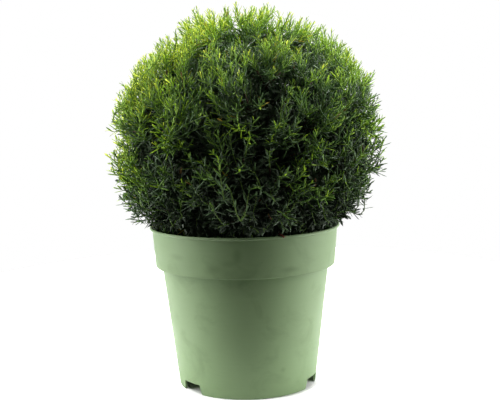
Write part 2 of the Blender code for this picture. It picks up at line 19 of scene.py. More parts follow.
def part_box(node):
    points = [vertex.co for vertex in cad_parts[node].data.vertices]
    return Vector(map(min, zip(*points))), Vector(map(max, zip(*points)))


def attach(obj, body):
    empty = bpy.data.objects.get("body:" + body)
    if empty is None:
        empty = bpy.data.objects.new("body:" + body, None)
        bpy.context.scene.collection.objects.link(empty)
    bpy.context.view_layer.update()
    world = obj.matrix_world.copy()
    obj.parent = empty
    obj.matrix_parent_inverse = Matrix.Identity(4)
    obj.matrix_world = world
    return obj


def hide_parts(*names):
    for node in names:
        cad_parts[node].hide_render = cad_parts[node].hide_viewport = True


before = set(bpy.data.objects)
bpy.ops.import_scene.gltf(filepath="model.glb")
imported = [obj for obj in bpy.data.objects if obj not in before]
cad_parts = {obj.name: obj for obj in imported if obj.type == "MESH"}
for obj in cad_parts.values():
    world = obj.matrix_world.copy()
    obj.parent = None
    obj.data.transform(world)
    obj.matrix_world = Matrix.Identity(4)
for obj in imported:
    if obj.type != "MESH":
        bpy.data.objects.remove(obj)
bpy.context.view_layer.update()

MM = 0.001
UP = Vector((0.0, 0.0, 1.0))
BODY = "root"
GOLDEN_ANGLE = math.pi * (3.0 - math.sqrt(5.0))


def pot_axis() -> Vector:
    """Foot of the pot's axis in the frame, which all sizes here are measured from."""
    low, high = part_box("pot")
    return Vector(((low[0] + high[0]) / 2, (low[1] + high[1]) / 2, 0.0))


POT_AXIS = pot_axis()

log = logging.getLogger("yew_ball")


# Small helpers

def linear(code: str) -> tuple[float, float, float, float]:
    """Turn an sRGB hex colour into linear values.

    Args:
        code: Six hex digits, with or without a leading hash.

    Returns:
        Linear red, green and blue with an alpha of one.
    """
    digits = code.lstrip("#")
    channels = []
    for start in (0, 2, 4):
        value = int(digits[start:start + 2], 16) / 255.0
        channels.append(value / 12.92 if value <= 0.04045 else ((value + 0.055) / 1.055) ** 2.4)
    return (channels[0], channels[1], channels[2], 1.0)


def add_node(tree: bpy.types.NodeTree, kind: str, settings: dict | None = None,
             links: dict | None = None) -> bpy.types.Node:
    """Add a node, set its properties and sockets, and link its inputs.

    Args:
        tree: The node tree that takes the node.
        kind: Blender's name of the node type.
        settings: Values by property name or by input socket name.
        links: Output sockets by the input socket that they feed.

    Returns:
        The new node.
    """
    node = tree.nodes.new(kind)
    for name, value in (settings or {}).items():
        if isinstance(name, str) and hasattr(node, name):
            setattr(node, name, value)
        else:
            node.inputs[name].default_value = value
    for name, source in (links or {}).items():
        tree.links.new(source, node.inputs[name])
    return node


def deselect_all() -> None:
    """Leave nothing selected in object mode."""
    if bpy.context.object is not None and bpy.context.object.mode != "OBJECT":
        bpy.ops.object.mode_set(mode="OBJECT")
    bpy.ops.object.select_all(action="DESELECT")


def select_only(piece: bpy.types.Object) -> None:
    """Select one object and make it the active one."""
    deselect_all()
    piece.select_set(True)
    bpy.context.view_layer.objects.active = piece


def apply_modifiers(piece: bpy.types.Object) -> None:
    """Apply every modifier of a piece in its order."""
    select_only(piece)
    for modifier in list(piece.modifiers):
        bpy.ops.object.modifier_apply(modifier=modifier.name)


def link_mesh(name: str, mesh: bpy.types.Mesh) -> bpy.types.Object:
    """Put a mesh in the scene as an object at the origin."""
    piece = bpy.data.objects.new(name, mesh)
    bpy.context.scene.collection.objects.link(piece)
    return piece


def settle(piece: bpy.types.Object, name: str, stands_for: tuple[str, ...] = ()) -> None:
    """Name a finished piece, tie it to the frame and hide the frame's nodes that it replaces.

    Args:
        piece: The finished piece, with its place from the pot's axis in its mesh.
        name: The piece's name.
        stands_for: The frame's nodes that it replaces.
    """
    piece.name = name
    piece.data.name = name
    piece.data.transform(Matrix.Translation(POT_AXIS))
    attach(piece, BODY)
    if stands_for:
        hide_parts(*stands_for)
    piece.data.calc_loop_triangles()
    log.info("%s: %d triangles", name, len(piece.data.loop_triangles))


def direction(bearing: float, elevation: float) -> Vector:
    """Unit vector from angles in radians: bearing 0 faces the front (-Y), a quarter turn the right."""
    flat = math.cos(elevation)
    return Vector((flat * math.sin(bearing), -flat * math.cos(bearing), math.sin(elevation)))


def around(axis: Vector, angle: float, turn: float) -> Vector:
    """Give the direction at an angle from an axis, turned about it.

    Args:
        axis: The unit axis.
        angle: Angle from the axis in radians.
        turn: Turn about the axis in radians.

    Returns:
        The unit direction.
    """
    side = axis.cross(UP)
    if side.length < 0.1:
        side = Vector((1.0, 0.0, 0.0))
    side.normalize()
    other = side.cross(axis)
    return math.cos(angle) * axis + math.sin(angle) * (math.cos(turn) * side + math.sin(turn) * other)


def bezier(start: Vector, start_pull: Vector, end: Vector, end_pull: Vector, count: int) -> list[Vector]:
    """Give evenly stepped points of a cubic curve.

    Args:
        start: First point.
        start_pull: Vector from the first point to its handle.
        end: Last point.
        end_pull: Vector from the last point's handle to the last point.
        count: How many points.

    Returns:
        The points in order.
    """
    points = []
    for step in range(count):
        t = step / (count - 1)
        s = 1.0 - t
        points.append(
            s ** 3 * start
            + 3 * s * s * t * (start + start_pull)
            + 3 * s * t * t * (end - end_pull)
            + t ** 3 * end
        )
    return points


def arc(centre_r: float, centre_z: float, radius: float, start: float, end: float,
        steps: int) -> list[tuple[float, float]]:
    """Give points of an arc in a turned profile.

    Args:
        centre_r: Distance of the arc's centre from the axis.
        centre_z: Height of the arc's centre.
        radius: Radius of the arc.
        start: First angle in degrees, from outwards to up.
        end: Last angle in degrees.
        steps: How many steps the arc takes.

    Returns:
        Pairs of distance from the axis and height.
    """
    points = []
    for step in range(steps + 1):
        angle = math.radians(start + (end - start) * step / steps)
        points.append((centre_r + radius * math.cos(angle), centre_z + radius * math.sin(angle)))
    return points


def turn_profile(name: str, profile: list[tuple[float, float]], steps: int) -> bpy.types.Object:
    """Turn a profile about the Z axis: one corner is extruded along it and the line is spun round.

    Args:
        name: Name of the new object.
        profile: Pairs of distance from the axis and height.
        steps: How many steps go round.

    Returns:
        The turned piece, closed where its profile starts and ends on the axis.
    """
    deselect_all()
    bpy.ops.mesh.primitive_plane_add(size=MM, location=(0.0, 0.0, 0.0))
    piece = bpy.context.object
    piece.name = name
    bpy.ops.object.mode_set(mode="EDIT")
    bpy.ops.mesh.select_all(action="SELECT")
    bpy.ops.mesh.merge(type="CENTER")
    bpy.ops.transform.translate(value=(profile[0][0], 0.0, profile[0][1]))
    for (r, z), (next_r, next_z) in zip(profile, profile[1:]):
        bpy.ops.mesh.extrude_vertices_move(TRANSFORM_OT_translate={"value": (next_r - r, 0.0, next_z - z)})
    bpy.ops.mesh.select_all(action="SELECT")
    bpy.ops.mesh.spin(steps=steps, angle=math.tau, center=(0.0, 0.0, 0.0), axis=(0.0, 0.0, 1.0))
    bpy.ops.mesh.select_all(action="SELECT")
    bpy.ops.mesh.remove_doubles(threshold=0.01 * MM)
    bpy.ops.mesh.normals_make_consistent(inside=False)
    bpy.ops.object.mode_set(mode="OBJECT")
    return piece


def displace(piece: bpy.types.Object, shift) -> None:
    """Move every corner of a mesh by a rule.

    Args:
        piece: The piece to work.
        shift: Function of a corner's place and outward normal that returns the move.
    """
    for corner in piece.data.vertices:
        corner.co += shift(corner.co, corner.normal)


# Finishes

@dataclass(frozen=True)
class PlainFinish:
    """A finish of one colour, for pieces with many small facets that are tinted one by one."""

    name: str
    colour: str
    roughness: float
    specular: float = 0.5

    def make(self) -> bpy.types.Material:
        """Make the material from constants on the shader's own sockets."""
        made = bpy.data.materials.new(self.name)
        made.use_nodes = True
        shader = made.node_tree.nodes["Principled BSDF"]
        shader.inputs["Base Color"].default_value = linear(self.colour)
        shader.inputs["Roughness"].default_value = self.roughness
        shader.inputs["Specular IOR Level"].default_value = self.specular
        return made


@dataclass(frozen=True)
class MouldedPlastic:
    """Injection-moulded polypropylene: a matt skin with a broad soft gleam, faint smears and rings."""

    name: str = "polypropylene_moulded_sage"
    colour: str = "#86A072"
    smear: str = "#758E61"
    dust: str = "#92AA80"
    roughness: float = 0.54
    smear_size: float = 46 * MM
    ring_pitch: float = 3.2 * MM
    grain: float = 0.5 * MM
    rubbed: str = "#5E7647"
    rubs: tuple[tuple[float, float, float, float, float], ...] = (
        (-43.4 * MM, 190 * MM, 15 * MM, 9 * MM, 0.4), (-10.4 * MM, 209 * MM, 9 * MM, 15 * MM, 0.45),
        (-22 * MM, 199 * MM, 16 * MM, 6 * MM, 0.25), (61 * MM, 186.5 * MM, 17 * MM, 6 * MM, 0.45),
        (49.8 * MM, 40 * MM, 5 * MM, 5 * MM, 0.3), (-95 * MM, 203 * MM, 14 * MM, 6 * MM, 0.25),
    )

    def make(self) -> bpy.types.Material:
        """Make the material: smears as from handling, fine mould rings and a dull grain."""
        made = bpy.data.materials.new(self.name)
        made.use_nodes = True
        tree = made.node_tree
        shader = tree.nodes["Principled BSDF"]
        shader.inputs["IOR"].default_value = 1.49
        shader.inputs["Specular IOR Level"].default_value = 0.5
        place = add_node(tree, "ShaderNodeTexCoord")
        smears = add_node(tree, "ShaderNodeTexNoise", {
            "Scale": 1.0 / self.smear_size, "Detail": 4.0, "Roughness": 0.62, "Distortion": 0.8,
        }, {"Vector": place.outputs["Object"]})
        smear_share = add_node(tree, "ShaderNodeMapRange", {
            "From Min": 0.52, "From Max": 0.78, "To Min": 0.0, "To Max": 0.7,
        }, {"Value": smears.outputs["Fac"]})
        smeared = add_node(tree, "ShaderNodeMix", {
            "data_type": "RGBA", 6: linear(self.colour), 7: linear(self.smear),
        }, {"Factor": smear_share.outputs["Result"]})
        squashed = add_node(tree, "ShaderNodeMapping", {
            "Scale": (1.0, 1.0, self.smear_size / self.ring_pitch),
        }, {"Vector": place.outputs["Object"]})
        streaks = add_node(tree, "ShaderNodeTexNoise", {
            "Scale": 1.0 / self.smear_size, "Detail": 3.0, "Roughness": 0.5,
        }, {"Vector": squashed.outputs["Vector"]})
        streak_share = add_node(tree, "ShaderNodeMapRange", {
            "From Min": 0.5, "From Max": 0.75, "To Min": 0.0, "To Max": 0.12,
        }, {"Value": streaks.outputs["Fac"]})
        dusted = add_node(tree, "ShaderNodeMix", {
            "data_type": "RGBA", 7: linear(self.dust),
        }, {"Factor": streak_share.outputs["Result"], 6: smeared.outputs[2]})
        colour = dusted.outputs[2]
        for x, z, half_width, half_height, strength in self.rubs:
            spot = add_node(tree, "ShaderNodeVectorMath", {
                "operation": "SUBTRACT", 1: (POT_AXIS.x + x, -0.11, z),
            }, {0: place.outputs["Object"]})
            scaled = add_node(tree, "ShaderNodeVectorMath", {
                "operation": "MULTIPLY", 1: (1.0 / half_width, 10.0, 1.0 / half_height),
            }, {0: spot.outputs[0]})
            away = add_node(tree, "ShaderNodeVectorMath", {"operation": "LENGTH"}, {0: scaled.outputs[0]})
            ragged = add_node(tree, "ShaderNodeMath", {"operation": "ADD"}, {
                0: away.outputs["Value"], 1: smears.outputs["Fac"]})
            worn = add_node(tree, "ShaderNodeMapRange", {
                "interpolation_type": "SMOOTHSTEP", "From Min": 0.5, "From Max": 1.6,
                "To Min": strength, "To Max": 0.0,
            }, {"Value": ragged.outputs["Value"]})
            rubbed = add_node(tree, "ShaderNodeMix", {
                "data_type": "RGBA", 7: linear(self.rubbed),
            }, {"Factor": worn.outputs["Result"], 6: colour})
            colour = rubbed.outputs[2]
        tree.links.new(colour, shader.inputs["Base Color"])
        sheen = add_node(tree, "ShaderNodeMapRange", {
            "To Min": self.roughness - 0.06, "To Max": self.roughness + 0.12,
        }, {"Value": smears.outputs["Fac"]})
        tree.links.new(sheen.outputs["Result"], shader.inputs["Roughness"])
        grain = add_node(tree, "ShaderNodeTexNoise", {
            "Scale": 1.0 / self.grain, "Detail": 2.0,
        }, {"Vector": place.outputs["Object"]})
        grain_bump = add_node(tree, "ShaderNodeBump", {
            "Strength": 0.12, "Distance": 0.05 * MM,
        }, {"Height": grain.outputs["Fac"]})
        ring_bump = add_node(tree, "ShaderNodeBump", {
            "Strength": 0.1, "Distance": 0.1 * MM,
        }, {"Height": streaks.outputs["Fac"], "Normal": grain_bump.outputs["Normal"]})
        tree.links.new(ring_bump.outputs["Normal"], shader.inputs["Normal"])
        return made


@dataclass(frozen=True)
class Earthy:
    """A dull natural surface of two mixed colours, such as peat or bark."""

    name: str
    dark: str
    light: str
    patch: float
    relief: float
    stretch: float = 1.0
    roughness: float = 0.92

    def make(self) -> bpy.types.Material:
        """Make the material: patches of the two colours and a rough relief of the same pattern."""
        made = bpy.data.materials.new(self.name)
        made.use_nodes = True
        tree = made.node_tree
        shader = tree.nodes["Principled BSDF"]
        shader.inputs["Specular IOR Level"].default_value = 0.25
        place = add_node(tree, "ShaderNodeTexCoord")
        drawn = add_node(tree, "ShaderNodeMapping", {
            "Scale": (1.0, 1.0, 1.0 / self.stretch),
        }, {"Vector": place.outputs["Object"]})
        patches = add_node(tree, "ShaderNodeTexNoise", {
            "Scale": 1.0 / self.patch, "Detail": 6.0, "Roughness": 0.65,
        }, {"Vector": drawn.outputs["Vector"]})
        share = add_node(tree, "ShaderNodeMapRange", {
            "From Min": 0.38, "From Max": 0.66,
        }, {"Value": patches.outputs["Fac"]})
        mixed = add_node(tree, "ShaderNodeMix", {
            "data_type": "RGBA", 6: linear(self.dark), 7: linear(self.light),
        }, {"Factor": share.outputs["Result"]})
        tree.links.new(mixed.outputs[2], shader.inputs["Base Color"])
        dull = add_node(tree, "ShaderNodeMapRange", {
            "To Min": self.roughness - 0.1, "To Max": self.roughness + 0.08,
        }, {"Value": patches.outputs["Fac"]})
        tree.links.new(dull.outputs["Result"], shader.inputs["Roughness"])
        bump = add_node(tree, "ShaderNodeBump", {
            "Strength": 0.7, "Distance": self.relief,
        }, {"Height": patches.outputs["Fac"]})
        tree.links.new(bump.outputs["Normal"], shader.inputs["Normal"])
        return made


class Tone(Enum):
    """Tones of a needle's upper side, from painted shade and old needles to young and withered ones: SHADED is
    painted shade for the inside and underside of the ball.
    """

    SHADED = 0
    DEEP = 1
    MATURE = 2
    GREEN = 3
    FRESH = 4
    LIME = 5
    GOLD = 6
    BROWN = 7


# SHADED is painted shade: a dark dull tone for needles deep inside and low in the ball, where shade falls. DEEP and
# MATURE serve both old needles and painted shade.
UPPER_FINISHES = {
    Tone.SHADED: PlainFinish("needle_shaded_dull", "#465142", 0.75, 0.12),
    Tone.DEEP: PlainFinish("needle_old_waxy", "#46583E", 0.46, 0.4),
    Tone.MATURE: PlainFinish("needle_mature_waxy", "#5B7350", 0.44, 0.42),
    Tone.GREEN: PlainFinish("needle_green_waxy", "#688C3C", 0.5, 0.12),
    Tone.FRESH: PlainFinish("needle_fresh_soft", "#96BC33", 0.52, 0.08),
    Tone.LIME: PlainFinish("needle_young_soft", "#CCDB44", 0.55, 0.08),
    Tone.GOLD: PlainFinish("needle_yellowed", "#CFB049", 0.5, 0.3),
    Tone.BROWN: PlainFinish("needle_withered", "#7E5A36", 0.6, 0.25),
}
UNDER_FINISHES = (
    PlainFinish("needle_underside_mature", "#52713F", 0.5, 0.3),
    PlainFinish("needle_underside_young", "#90B448", 0.55, 0.25),
)
YOUNG_UNDERSIDE_FROM = Tone.FRESH.value
BARK = Earthy("yew_bark_flaking", "#3A1F14", "#7B4A30", 7 * MM, 0.8 * MM, stretch=3.0)
TWIG_BARK = PlainFinish("yew_twig_brown", "#4C3A27", 0.7)
GREEN_TWIG = PlainFinish("yew_shoot_green", "#6E8C3E", 0.6, 0.3)
PEAT = Earthy("peat_compost_moist", "#120B07", "#38261A", 5 * MM, 1.2 * MM)
CRUMB = Earthy("peat_crumb", "#1A110B", "#4B3423", 3 * MM, 0.5 * MM)
STRAY_SCRAP = PlainFinish("yew_scrap_red_brown", "#6B2A1C", 0.7)


# Pot and compost

@dataclass
class NurseryPot:
    """Round nursery pot with a rolled lip, a deep band, a rounded step and a notched foot ring."""

    bead_radius: float = 1.9 * MM
    band_top_radius: float = 135.3 * MM
    band_foot_radius: float = 131.6 * MM
    band_foot_height: float = 176.5 * MM
    body_top_radius: float = 121.4 * MM
    body_top_height: float = 170 * MM
    body_foot_radius: float = 100.8 * MM
    wall: float = 2 * MM
    base_underside: float = 16 * MM
    base_thickness: float = 2.4 * MM
    foot_rounding: float = 1.5 * MM
    step_rounding: float = 1.8 * MM
    throat_rounding: float = 0.9 * MM
    edge_run: float = 1.5 * MM
    ledge_drop: float = 0.2 * MM
    lip_fillet: float = 1.4 * MM
    notch_bearings: tuple[float, ...] = (-52.2, 67.2, 187.5)
    notch_height: float = 14.7 * MM
    notch_top_width: float = 36 * MM
    notch_foot_width: float = 43.5 * MM
    drain_holes: int = 6
    drain_radius: float = 6 * MM
    drain_circle: float = 72 * MM
    segments: int = 180

    def __post_init__(self) -> None:
        """Read the height and the lip's radius from the frame."""
        low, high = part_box("pot")
        self.height = high.z
        self.lip_radius = (high.x - low.x) / 2
        self.ledge_top = self.band_foot_height + self.wall

    def body_radius(self, height: float) -> float:
        """Outer radius of the tapering body at a height."""
        slope = (self.body_top_radius - self.body_foot_radius) / self.body_top_height
        return self.body_foot_radius + slope * height

    def inner_radius(self, height: float) -> float:
        """Inner radius of the wall at a height, which steps out above the band's foot."""
        if height <= self.ledge_top:
            return self.body_radius(height) - self.wall
        rise = self.height - self.band_foot_height
        slope = (self.band_top_radius - self.band_foot_radius) / rise
        return self.band_foot_radius + slope * (height - self.band_foot_height) - self.wall

    def profile(self) -> list[tuple[float, float]]:
        """Closed profile from the base's middle over the lip and down to the underside's middle."""
        base_top = self.base_underside + self.base_thickness
        bead_r = self.lip_radius - self.bead_radius
        bead_z = self.height - self.bead_radius
        under_bead = bead_z - self.bead_radius
        points = [(0.0, base_top)]
        inner_foot = self.inner_radius(base_top)
        points += arc(inner_foot - 3 * MM, base_top + 3 * MM, 3 * MM, -90, 0, 5)
        points += [
            (self.inner_radius(self.ledge_top), self.ledge_top),
            (self.inner_radius(self.ledge_top + MM), self.ledge_top + MM),
            (self.inner_radius(bead_z), bead_z),
        ]
        points += arc(bead_r, bead_z, self.bead_radius, 125, -75, 16)
        fillet = self.lip_fillet
        points += arc(self.band_top_radius + fillet, under_bead - fillet, fillet, 90, 180, 5)
        band_top = under_bead - fillet
        band_foot = self.band_foot_height + self.step_rounding
        slope = (self.band_top_radius - self.band_foot_radius) / (band_top - band_foot)
        points.append((self.band_top_radius - slope * self.edge_run, band_top - self.edge_run))
        points.append((self.band_foot_radius + slope * self.edge_run, band_foot + self.edge_run))
        points += self.step_profile()
        run_foot = self.foot_rounding + self.edge_run
        points.append((self.body_radius(run_foot), run_foot))
        foot_r = self.body_foot_radius - self.foot_rounding
        points += arc(foot_r, self.foot_rounding, self.foot_rounding, 0, -90, 6)
        points += [
            (foot_r - self.wall + 0.4 * MM, 0.0),
            (foot_r - self.wall, 0.4 * MM),
            (self.body_radius(self.base_underside) - self.foot_rounding - self.wall, self.base_underside),
            (0.0, self.base_underside),
        ]
        return points

    def step_profile(self) -> list[tuple[float, float]]:
        """Foot of the band: a rounded corner, the shaded ledge under it and a fillet to the body."""
        corner = self.step_rounding
        throat = self.throat_rounding
        ledge = self.band_foot_height - self.ledge_drop
        points = arc(self.band_foot_radius - corner, self.band_foot_height + corner, corner, 0, -84, 8)
        points += [
            (self.body_radius(ledge) + throat, ledge),
            (self.body_radius(ledge) + 0.3 * throat, ledge - 0.4 * throat),
            (self.body_radius(ledge - 1.5 * throat), ledge - 1.5 * throat),
            (self.body_radius(ledge - self.edge_run - 1.5 * throat), ledge - self.edge_run - 1.5 * throat),
        ]
        return points

    def cutter(self, bearing: float, kind: str) -> bpy.types.Object:
        """Make the block or pin that cuts one notch or drain hole.

        Args:
            bearing: Bearing of the cut in degrees.
            kind: "notch" or "drain".

        Returns:
            The cutter in its place.
        """
        deselect_all()
        if kind == "notch":
            bpy.ops.mesh.primitive_cube_add(size=1.0, location=(0.0, 0.0, 0.0))
            block = bpy.context.object
            depth = 0.4 * self.body_foot_radius
            tall = self.notch_height + 2 * self.wall
            block.data.transform(Matrix.Diagonal((self.notch_foot_width, depth, tall, 1.0)))
            narrower = self.notch_top_width / self.notch_foot_width
            for corner in block.data.vertices:
                if corner.co.z > 0.0:
                    corner.co.x *= narrower
            out = direction(math.radians(bearing), 0.0) * self.body_foot_radius
            lift = self.notch_height - tall / 2
        else:
            bpy.ops.mesh.primitive_cylinder_add(
                vertices=32, radius=self.drain_radius, depth=4 * self.base_thickness)
            block = bpy.context.object
            out = direction(math.radians(bearing), 0.0) * self.drain_circle
            lift = self.base_underside
        turn = Matrix.Rotation(math.radians(bearing), 4, "Z")
        block.data.transform(Matrix.Translation(out + UP * lift) @ turn)
        return block

    def build(self) -> bpy.types.Object:
        """Turn the wall, cut the notches and drain holes and shade the pot smooth by angle."""
        pot = turn_profile("pot_moulding", self.profile(), self.segments)
        cutters = [self.cutter(bearing, "notch") for bearing in self.notch_bearings]
        for hole in range(self.drain_holes):
            cutters.append(self.cutter(360.0 * hole / self.drain_holes + 15.0, "drain"))
        for cutter in cutters:
            boolean = pot.modifiers.new("cut", "BOOLEAN")
            boolean.object = cutter
            boolean.operation = "DIFFERENCE"
            boolean.solver = "EXACT"
        apply_modifiers(pot)
        for cutter in cutters:
            bpy.data.objects.remove(cutter, do_unlink=True)
        select_only(pot)
        bpy.ops.object.shade_smooth_by_angle(angle=math.radians(32))
        return pot

    def dress(self, pot: bpy.types.Object) -> None:
        """Give the pot its moulded plastic and tie it to the frame."""
        pot.data.materials.append(MouldedPlastic().make())
        settle(pot, "pot_moulding", ("pot",))


@dataclass
class CompostBed:
    """Moist peat compost with crumbs and one red-brown scrap at the lip."""

    lump: float = 2.2 * MM
    fine_lump: float = 0.9 * MM
    seat_radius: float = 24 * MM
    clearance: float = 0.6 * MM
    rings: int = 46
    segments: int = 150
    crumbs: int = 1500
    crumb_size: float = 2.4 * MM
    scrap_bearing: float = math.radians(21.3)
    seed: int = 5

    def build(self, pot: NurseryPot) -> bpy.types.Object:
        """Turn the bed inside the pot and raise its surface into lumps.

        Args:
            pot: The pot that holds the bed.

        Returns:
            The bed as one closed piece.
        """
        low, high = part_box("compost")
        self.top = high.z - self.lump
        self.edge = pot.inner_radius(self.top) - self.clearance
        profile = [(0.0, self.top)]
        for ring in range(1, self.rings + 1):
            profile.append((self.edge * ring / self.rings, self.top))
        for height, drop in ((self.top, 4 * MM), (pot.ledge_top + 2 * MM, 0.0), (pot.ledge_top, -MM), (low.z, 0.0)):
            profile.append((pot.inner_radius(height) - self.clearance, height - drop))
        profile.append((0.0, low.z))
        bed = turn_profile("compost_bed", profile, self.segments)
        floor = self.top - 1 * MM

        def lumps(place: Vector, normal: Vector) -> Vector:
            if place.z < floor:
                return Vector()
            rise = self.lump * noise.noise(place / (18 * MM))
            rise += self.fine_lump * noise.noise(place / (4 * MM))
            return UP * rise

        displace(bed, lumps)
        select_only(bed)
        bpy.ops.object.shade_smooth_by_angle(angle=math.radians(60))
        return bed

    def surface(self, x: float, y: float) -> float:
        """Height of the bed's surface at a place."""
        place = Vector((x, y, self.top))
        return self.top + self.lump * noise.noise(place / (18 * MM))

    def scatter(self) -> bpy.types.Object:
        """Strew irregular crumbs over the bed as one joined mesh."""
        rng = np.random.default_rng(self.seed)
        corners = np.array([(1, 0, 0), (-1, 0, 0), (0, 1, 0), (0, -1, 0), (0, 0, 1), (0, 0, -1)], float)
        faces = np.array([(0, 2, 4), (2, 1, 4), (1, 3, 4), (3, 0, 4), (2, 0, 5), (1, 2, 5), (3, 1, 5), (0, 3, 5)])
        all_corners = []
        all_faces = []
        for number in range(self.crumbs):
            reach = self.edge * 0.97 * math.sqrt(rng.uniform(0.04, 1.0))
            bearing = rng.uniform(0.0, math.tau)
            x = reach * math.cos(bearing)
            y = reach * math.sin(bearing)
            size = self.crumb_size * rng.uniform(0.35, 1.0) ** 2
            stretch = rng.uniform(0.6, 1.4, 3)
            jag = corners * rng.uniform(0.7, 1.2, (6, 1)) * stretch * size
            turn = np.array(Matrix.Rotation(rng.uniform(0, math.tau), 3, Vector(rng.normal(size=3))))
            centre = np.array([x, y, self.surface(x, y) + 0.3 * size])
            all_corners.append(jag @ turn.T + centre)
            all_faces.append(faces + 6 * number)
        mesh = bpy.data.meshes.new("compost_crumbs")
        mesh.from_pydata(np.concatenate(all_corners).tolist(), [], np.concatenate(all_faces).tolist())
        return link_mesh("compost_crumbs", mesh)

    def scrap(self, pot: NurseryPot) -> bpy.types.Object:
        """Hang one red-brown scrap of bark over the pot's lip.

        Args:
            pot: The pot whose lip it hangs over.

        Returns:
            The scrap with its side shred.
        """
        out = direction(self.scrap_bearing, 0.0)
        aside = UP.cross(out)
        steps = ((-7, 2.6, -2.5), (-3, 1.4, -1), (-1, 1.2, 0), (1.2, 0.2, 1), (1.9, -2.6, 1.6))
        path = []
        for outwards, rise, sideways in steps:
            reach = pot.lip_radius + outwards * MM
            path.append(out * reach + UP * (pot.height + rise * MM) + aside * sideways * MM)
        shred = [path[3], path[3] + aside * 2 * MM - UP * MM, path[3] + aside * 3.6 * MM - UP * 0.6 * MM]
        limbs = [Limb(path, [0.4 * MM, 1.1 * MM, 1.3 * MM, 1.2 * MM, 0.3 * MM], 5)]
        limbs.append(Limb(shred, [0.9 * MM, 0.7 * MM, 0.2 * MM], 5))
        return link_mesh("lip_scrap", joined_limbs("lip_scrap", limbs))

    def dress(self, bed: bpy.types.Object, crumbs: bpy.types.Object, scrap: bpy.types.Object) -> None:
        """Give bed, crumbs and scrap their finishes and tie them to the frame."""
        bed.data.materials.append(PEAT.make())
        crumbs.data.materials.append(CRUMB.make())
        settle(bed, "compost_bed", ("compost",))
        settle(crumbs, "compost_crumbs")
        scrap.data.materials.append(STRAY_SCRAP.make())
        settle(scrap, "lip_scrap")


# Growth

@dataclass
class Limb:
    """A tapering limb: its path and the radius at each point of it."""

    path: list[Vector]
    radii: list[float]
    sides: int

    @staticmethod
    def tapered(path: list[Vector], start: float, end: float, sides: int) -> "Limb":
        """Make a limb whose radius falls evenly along its path."""
        last = len(path) - 1
        radii = [start + (end - start) * step / last for step in range(len(path))]
        return Limb(path, radii, sides)

    def mesh_lists(self, first: int) -> tuple[list[Vector], list[tuple[int, ...]]]:
        """Give the limb's corners and faces, closed at both ends.

        Args:
            first: Index that its first corner will have.

        Returns:
            Corners and faces.
        """
        corners = []
        side = None
        for index, point in enumerate(self.path):
            before = self.path[max(index - 1, 0)]
            after = self.path[min(index + 1, len(self.path) - 1)]
            along = (after - before).normalized()
            if side is None:
                side = along.orthogonal()
            side = (side - along * side.dot(along)).normalized()
            other = along.cross(side)
            for corner in range(self.sides):
                angle = math.tau * corner / self.sides
                spread = math.cos(angle) * side + math.sin(angle) * other
                corners.append(point + self.radii[index] * spread)
        faces = []
        for ring in range(len(self.path) - 1):
            for corner in range(self.sides):
                following = (corner + 1) % self.sides
                low = first + ring * self.sides
                high = low + self.sides
                faces.append((low + corner, low + following, high + following, high + corner))
        faces.append(tuple(first + corner for corner in reversed(range(self.sides))))
        top = first + (len(self.path) - 1) * self.sides
        faces.append(tuple(top + corner for corner in range(self.sides)))
        return corners, faces


class Growth(Enum):
    """Kinds of shoot, from the leading ones of the solids to the short shaded ones inside."""

    LEADING = 0
    SIDE = 1
    INNER = 2


@dataclass
class Shoot:
    """One needled shoot: its path, its thickness, its kind, its youth and how much of it is bare."""

    path: list[Vector]
    radius: float
    kind: Growth
    youth: float
    bare: float


@dataclass
class Mass:
    """One mass of foliage: the ring it belongs to, its number there and its axis from the centre."""

    ring: str
    number: int
    count: int
    axis: Vector

    @property
    def suffix(self) -> str:
        """Last part of the mass's name."""
        return self.ring if self.count == 1 else f"{self.ring}_{self.number}"


